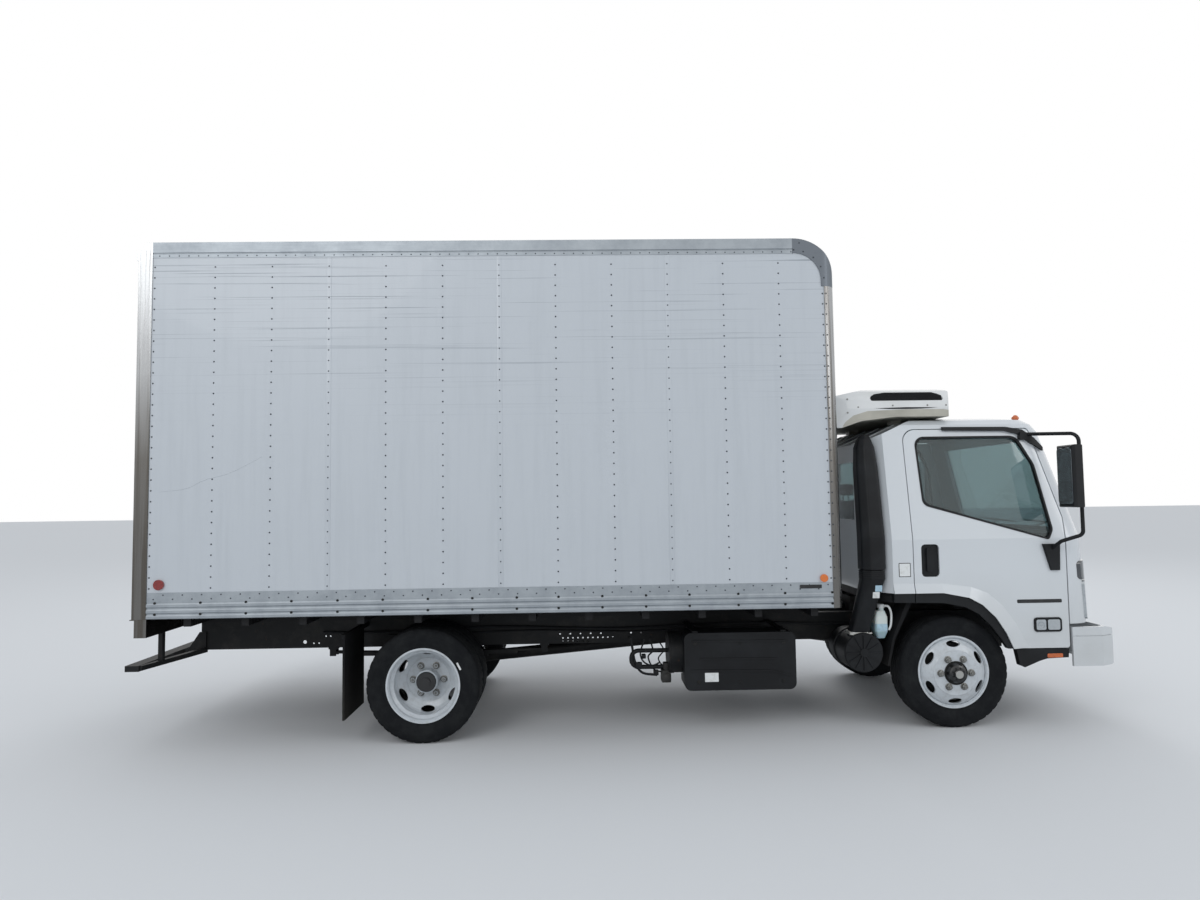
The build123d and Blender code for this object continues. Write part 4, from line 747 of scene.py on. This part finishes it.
# Wipers parked along the foot of the windscreen
wiper = {"pivots": (610, -110), "reach": 370, "footZ": 1392, "elbow": (120, 16, 24), "armRadius": 6.5,
         "footOff": 10, "bossOff": -4, "bladeZ": 1456, "blade": 290, "bladeSteps": 12, "bladeRise": 1.6,
         "clear": 16, "bladeBelow": 8, "armAbove": 6, "bladeRadii": (5, 3),
         "boss": [(20, 0), (20, 12), (14, 20), (0, 22)], "screenFoot": (1004, 1360), "slope": 220 / 790}


def onScreen(y, z, off):
    foot, level = wiper["screenFoot"]
    return place(foot - (z - level) * wiper["slope"] + off, y, z)


def makeWipers(values):
    parts = []
    back, rise, off = values["elbow"]
    steps, clear, below = values["bladeSteps"], values["clear"], values["bladeBelow"]
    ends, more = values["bladeRadii"]
    for pivot in values["pivots"]:
        tip = pivot - values["reach"]
        arm = smoothLine([onScreen(pivot, values["footZ"], values["footOff"]),
                          onScreen(pivot - back, values["footZ"] + rise, off),
                          onScreen(tip, values["bladeZ"], clear + values["armAbove"])], 8)
        blade = [onScreen(tip + values["blade"] * (2 * k / steps - 1),
                          values["bladeZ"] - below + k * values["bladeRise"], clear - below)
                 for k in range(steps + 1)]
        swell = [ends + more * sin(pi * k / steps) for k in range(steps + 1)]
        parts += [(addTurned, onScreen(pivot, values["footZ"], values["bossOff"]), (1, 0, 0.2),
                   values["boss"], 18),
                  (addTube, arm, values["armRadius"], 8), (addTube, blade, swell, 6)]
    newPiece("wipers", parts, "black_plastic", "cab")


makeWipers(wiper)
print("mirrors and wipers made")

# Front: reflector bowls showing through the headlamps, fog lamps, and the black mesh behind the grille
headlamp = {"y": 696, "z": 905, "face": 1040, "foot": 560, "lean": 0.03,
            "bowl": [(112, -2), (112, 2.6), (107, 3.4), (103, 2.2), (100, 0.6), (34, 0.5), (30, 3), (20, 6.5),
                     (0, 8)]}
fogLamp = {"x": 1151, "y": 690, "z": 556, "lens": [(53, 0), (53, 8), (38, 15), (0, 19)],
           "bezel": [(60, 0), (60, 12), (56, 14), (51, 6)]}
grilleMesh = {"x": 972, "deep": 8, "y": 500, "low": 822, "high": 1090, "pitch": 32, "wire": 2.4,
              "wireFrom": -1, "wireTo": 5, "wireShort": 4}
for sideName, sign in sides:
    face = headlamp["face"] - (headlamp["z"] - headlamp["foot"]) * headlamp["lean"]
    newPiece("headlampBowl_" + sideName, [
        (addTurned, place(face, sign * headlamp["y"], headlamp["z"]), (1, 0, headlamp["lean"]),
         headlamp["bowl"], 48)], "brightClamp", "cab")
    for name, profile, finish in (("fogLens_", fogLamp["lens"], "lamp_lens"),
                                  ("fogBezel_", fogLamp["bezel"], "black_plastic")):
        newPiece(name + sideName, [
            (addTurned, place(fogLamp["x"], sign * fogLamp["y"], fogLamp["z"]), (1, 0, 0), profile, 40)],
            finish, "root")


def makeGrilleMesh(values):
    x, half, low, high = (values[key] for key in ("x", "y", "low", "high"))
    parts = [(addBar, (x - values["deep"], -half, low), (x, half, high), 3)]
    for k in range(1, int(2 * half / values["pitch"])):
        y = -half + k * values["pitch"]
        parts.append((addBar, (x + values["wireFrom"], y - values["wire"], low + values["wireShort"]),
                      (x + values["wireTo"], y + values["wire"], high - values["wireShort"]), 1))
    newPiece("grilleMesh", parts, "black_plastic", "cab")


makeGrilleMesh(grilleMesh)
print("front dressed")

# Roof unit: dark louvred grilles in the side recesses, the slot below them, and screws
unitGrille = {
    "edge": [(2389, -544, 20), (2404, -536, 19), (2424, -518, 14), (2438, -496, -20), (2449, -420, -66)],
    "slot": [(-500, 2331), (-260, 2336), (-18, 2333.5), (-140, 2326), (-260, 2324), (-390, 2325)],
    "recess": 877, "deep": 4, "rim": 3, "slotOut": 9, "slatOut": 7, "slatPitch": 8.5, "slatHalf": 1.6,
    "slatShort": 8, "slatFoot": 5, "slatTop": 3,
    "screwFace": 889.3, "screwHead": [(7, -0.5), (7, 0.2), (5, 0.6)],
    "screws": ((-700, 2400), (-700, 2300), (40, 2350), (-620, 2340), (-100, 2350), (-360, 2350)),
}


# Rear and front edge of the grille at a level
def grilleSpan(rows, z):
    for (z0, a0, b0), (z1, a1, b1) in zip(rows, rows[1:]):
        if z0 <= z <= z1:
            t = (z - z0) / (z1 - z0)
            return a0 + (a1 - a0) * t, b0 + (b1 - b0) * t
    return rows[-1][1:]


def makeUnitGrilles(values):
    edge, recess, rim = values["edge"], values["recess"], values["rim"]
    backing = [(a + rim, z) for z, a, b in edge] + [(b - rim, z) for z, a, b in reversed(edge)]
    parts, screws = [], []
    for sign in (-1, 1):
        for ring, out in ((backing, 0), (values["slot"], values["slotOut"])):
            parts.append((addSkin, [[place(x, sign * y, z) for x, z in ring]
                                    for y in (recess - values["deep"], recess + out)]))
        for z in every(values["slatPitch"], edge[0][0] + values["slatFoot"], edge[-1][0] - values["slatTop"]):
            a, b = grilleSpan(edge, z)
            parts.append((
                addBar, (a + values["slatShort"], sign * (recess - 1), z - values["slatHalf"]),
                (b - values["slatShort"], sign * (recess + values["slatOut"]), z + values["slatHalf"]), 1))
        screws += [(addTurned, *onSide(sign, x, values["screwFace"], z), values["screwHead"], 12)
                   for x, z in values["screws"]]
    newPiece("unitGrilles", parts, "black_plastic", "cab")
    newPiece("unitScrews", screws, "zincBolt", "cab")


makeUnitGrilles(unitGrille)
print("roof unit dressed")

# Air cleaner duct: its clamp band with a screw, and two labels
ductClamp = {"corners": [(-592, -912), (-740, -912), (-740, -783), (-600, -773)], "shares": (0.12, 0.5, 0.88),
             "low": 672, "high": 692, "screw": (-600, -915, 682), "screwAxis": (1, 0, 0.2),
             "screwProfile": [(7, -16), (7, 16)]}
ductLabels = {
    "middle": (-558, -984.5, 990), "up": (0.325, -0.236, 1), "size": (50, 46), "corner": 3, "thick": 1.2,
    "labels": (("ductLabelUpper", "blueVinyl", 26), ("ductLabelLower", "whiteVinyl", -26)),
}


def makeDuctTrim(clamp, labels):
    corners = clamp["corners"]
    band = [(x + (nextX - x) * t, y + (nextY - y) * t)
            for (x, y), (nextX, nextY) in zip(corners, corners[1:] + corners[:1]) for t in clamp["shares"]]
    newPiece("ductClamp", [
        (addSkin, [[place(x, y, z) for x, y in band] for z in (clamp["low"], clamp["high"])]),
        (addTurned, place(*clamp["screw"]), clamp["screwAxis"], clamp["screwProfile"], 10)],
        "brightClamp", "root")
    along = Vector(labels["up"]).normalized()
    upward = Vector((0, along.y, along.z)).normalized()
    for name, finish, shift in labels["labels"]:
        newPiece(name, [(addPlate, place(*labels["middle"]) + along * shift * mm,
                         Vector((1, 0, 0)).cross(upward), labels["size"], labels["corner"],
                         labels["thick"], upward)], finish, "root")


makeDuctTrim(ductClamp, ductLabels)

# Bolts of the treatment cover, and the coolant bottle's cap
coverBolts = {"face": 959.5, "head": [(16, 0), (16, 2), (10, 3), (10, 8), (8, 9.5)],
              "places": ((-1880, 640), (-1560, 640), (-1240, 640), (-1860, 365), (-1558, 362), (-1250, 365))}
newPiece("coverBolts", [(addTurned, *onSide(-1, x, coverBolts["face"], z), coverBolts["head"], 6)
                        for x, z in coverBolts["places"]], "black_chassis", "root")
bottleCap = {"at": (-490, -855, 858), "profile": [(26, 0), (26, 22), (22, 28), (0, 30)], "hoseRadius": 8,
             "hose": [(-470, -858, 872), (-440, -872, 868), (-424, -880, 820), (-430, -884, 740),
                      (-446, -884, 700)]}
newPiece("bottleCap", [
    (addTurned, place(*bottleCap["at"]), (0, 0, 1), bottleCap["profile"], 24),
    (addTube, smoothLine([place(*p) for p in bottleCap["hose"]], 8), bottleCap["hoseRadius"], 10)],
    "whiteVinyl", "root")
print("side equipment dressed")

# Hoses, plugs and dosing pump behind the exhaust treatment
harness = {
    "hoses": [  # points and radius
        ([(-2330, -748, 650), (-2318, -756, 560), (-2300, -762, 470), (-2250, -765, 400),
          (-2140, -762, 380)], 9),
        ([(-2230, -745, 640), (-2262, -758, 540), (-2240, -764, 480), (-2180, -764, 450),
          (-2120, -760, 470)], 6),
        ([(-2190, -740, 640), (-2170, -756, 560), (-2205, -762, 510), (-2160, -764, 420),
          (-2080, -760, 400)], 6),
        ([(-2120, -742, 620), (-2090, -758, 560), (-2130, -764, 500), (-2090, -762, 440),
          (-2050, -752, 430)], 5),
    ],
    "plugs": ((-2275, 452, 46), (-2238, 520, 30), (-2150, 400, 36)), "plugY": (-790, -742),  # x, z, size
}
hoses = [(addTube, smoothLine([place(*p) for p in points], 8), radius, 8)
         for points, radius in harness["hoses"]]
plugs = [(addBar, (x - size / 2, harness["plugY"][0], z - size / 2),
          (x + size / 2, harness["plugY"][1], z + size / 2), 5) for x, z, size in harness["plugs"]]
newPiece("harness", hoses + plugs, "black_plastic", "root")
pump = {"body": ((-2110, -800, 330), (-2040, -700, 420)), "head": ((-2095, -790, 420), (-2052, -720, 470)),
        "port": (-2075, 806, 372), "portProfile": [(26, 0), (26, 8), (18, 12), (0, 12)]}
newPiece("dosingPump", [(addBar, *pump["body"], 8), (addBar, *pump["head"], 6),
                        (addTurned, *onSide(-1, *pump["port"]), pump["portProfile"], 16)],
         "cast_grey", "root")

# Harness clipped along each frame rail, in gentle waves
# (first and last x, z, height of a wave, length, shift, radius)
frameHarness = {"y": 438, "step": 220, "lines": (
    (-4700, -300, 690, 14, 310, 0, 9), (-4200, -900, 660, 10, 260, 1, 6))}
newPiece("frameHarness", [
    (addTube, smoothLine([place(x, y, z + wave * sin(x / length + shift))
                          for x in range(start, end, frameHarness["step"])], 3), radius, 8)
    for y in (-frameHarness["y"], frameHarness["y"])
    for start, end, z, wave, length, shift, radius in frameHarness["lines"]], "black_plastic", "root")
print("underbody dressed")

# Seats: foam cushions puffed up inside their cloth, on moulded plinths
seat = {
    "places": ((240, 730), (-230, 220), (-730, -250)),  # the two sides of each
    "voxel": 0.011, "frames": 20, "cap": 0.022, "pressure": 4.0, "fullAt": 2.2, "endShare": 0.9,
    "cushions": (  # piece, outline of (x, z), how far in from the seat's sides, rounding of its ends
        ("seatCushion", [(-232, 1082), (-246, 1110), (-232, 1158), (-150, 1172), (120, 1178), (225, 1166),
                         (246, 1130), (232, 1082)], 0, 18),
        ("seatBack", [(-268, 1218), (-150, 1214), (-152, 1300), (-214, 1600), (-250, 1660), (-312, 1655),
                      (-338, 1310)], 8, 18),
        ("headRest", [(-276, 1690), (-246, 1686), (-236, 1770), (-262, 1790), (-318, 1780), (-316, 1696)],
         110, 12)),
    "plinthX": (-232, 232), "plinthZ": (966, 1076), "plinthIn": 34, "plinthEdge": 14,
    "stalkApart": 70, "stalkRadius": 6, "stalk": ((-276, 1640), (-280, 1700)),
}


def addCushion(shape, outline, y0, y1, inset, values):
    middleX = sum(x for x, z in outline) / len(outline)
    middleZ = sum(z for x, z in outline) / len(outline)
    rings = []
    small, full = values["endShare"], inset * values["fullAt"]
    for y, shrink in ((y0 + inset, small), (y0 + full, 1.0), (y1 - full, 1.0), (y1 - inset, small)):
        rings.append([place(middleX + (x - middleX) * shrink, y, middleZ + (z - middleZ) * shrink)
                      for x, z in outline])
    addSkin(shape, rings)


def puffUp(piece, values):
    remesh = piece.modifiers.new("remesh", "REMESH")
    remesh.mode = "VOXEL"
    remesh.voxel_size = values["voxel"]
    bpy.context.view_layer.objects.active = piece
    for other in bpy.context.selected_objects:
        other.select_set(False)
    piece.select_set(True)
    bpy.ops.object.modifier_apply(modifier="remesh")
    start = [v.co.copy() for v in piece.data.vertices]
    cloth = piece.modifiers.new("cloth", "CLOTH")
    cloth.settings.use_pressure = True
    cloth.settings.uniform_pressure_force = values["pressure"]
    cloth.settings.effector_weights.gravity = 0
    for step in range(1, values["frames"] + 1):
        scene.frame_set(step)
    bpy.ops.object.modifier_apply(modifier="cloth")
    for vertex, was in zip(piece.data.vertices, start):
        moved = vertex.co - was
        if moved.length > values["cap"]:
            vertex.co = was + moved.normalized() * values["cap"]
    scene.frame_set(1)
    smooth = piece.modifiers.new("smooth", "SUBSURF")
    smooth.levels = 1
    smooth.render_levels = 1
    bpy.ops.object.modifier_apply(modifier="smooth")
    for face in piece.data.polygons:
        face.use_smooth = True


# The first seat's cushions are puffed up; the other seats have copies, squeezed to their own width
def makeSeats(values):
    firstLow, firstHigh = values["places"][0]
    firstCushions = []
    for name, outline, inward, inset in values["cushions"]:
        piece = newPiece(name + "_1", [
            (addCushion, outline, firstLow + inward, firstHigh - inward, inset, values)],
            "seat_fabric", "cab")
        puffUp(piece, values)
        firstCushions.append((name, piece))
    for index, (low, high) in enumerate(values["places"][1:], 2):
        squeeze = (high - low) / (firstHigh - firstLow)
        for name, source in firstCushions:
            mesh = source.data.copy()
            for vertex in mesh.vertices:
                vertex.co.y = low * mm + (vertex.co.y - firstLow * mm) * squeeze
            twin = addObject("%s_%d" % (name, index), mesh)
            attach(twin, "cab")
    (x0, x1), (z0, z1), inward = values["plinthX"], values["plinthZ"], values["plinthIn"]
    parts = []
    for low, high in values["places"]:
        parts.append((addBar, (x0, low + inward, z0), (x1, high - inward, z1), values["plinthEdge"]))
        for aside in (-values["stalkApart"], values["stalkApart"]):
            stalk = [place(x, (low + high) / 2 + aside, z) for x, z in values["stalk"]]
            parts.append((addTube, stalk, values["stalkRadius"], 10))
    newPiece("seatPlinths", parts, "dash_plastic", "cab", ["seats"])


makeSeats(seat)
print("seats made")

# Studio: pale floor, soft lamps
studio = {"floorColour": "#D6D8DA", "floorSize": 160.0, "skyColour": "#E9EDF2", "skyStrength": 0.9,
          "lamps": {  # place, aim, size in metres, watts
              "key": ((-7, -13, 9), (0, 0, 1.5), 8, 480), "fill": ((11, -9, 6), (2, 0, 1.2), 6, 230),
              "back": ((2, 12, 10), (0, 0, 2), 8, 400)}}


def makeStudio(values):
    half = values["floorSize"] / 2
    mesh = bpy.data.meshes.new("floor")
    mesh.from_pydata([(x * half, y * half, 0) for x, y in ((-1, -1), (1, -1), (1, 1), (-1, 1))], [],
                     [(0, 1, 2, 3)])
    floor = addObject("floor", mesh)
    mesh.materials.append(makeMaterial("paleFloor", {"Roughness": 0.85, "Base Color": values["floorColour"]}))
    world = bpy.data.worlds.new("paleSky")
    scene.world = world
    world.use_nodes = True
    tree = world.node_tree
    tree.nodes.clear()
    rays = addNode(tree, "ShaderNodeLightPath")
    seen = addNode(tree, "ShaderNodeMath", {"operation": "MAXIMUM"},
                   {0: rays.outputs["Is Camera Ray"], 1: rays.outputs["Is Transmission Ray"]})
    white = addNode(tree, "ShaderNodeMath", {"operation": "MAXIMUM"},
                    {0: seen, 1: rays.outputs["Is Glossy Ray"]})
    light = addNode(tree, "ShaderNodeBackground", {"Color": values["skyColour"],
                                                   "Strength": values["skyStrength"]})
    shown = addNode(tree, "ShaderNodeBackground", {"Color": "#FFFFFF", "Strength": 1.0})
    sky = addNode(tree, "ShaderNodeMixShader", links={0: white, 1: light, 2: shown})
    addNode(tree, "ShaderNodeOutputWorld", links={"Surface": sky})
    for name, (at, aim, size, power) in values["lamps"].items():
        data = bpy.data.lights.new(name, "AREA")
        data.shape = "DISK"
        data.size = size
        data.energy = power
        lamp = addObject(name, data)
        lamp.location = at
        lamp.rotation_euler = (Vector(aim) - Vector(at)).to_track_quat("-Z", "Y").to_euler()


makeStudio(studio)
print("studio ready")
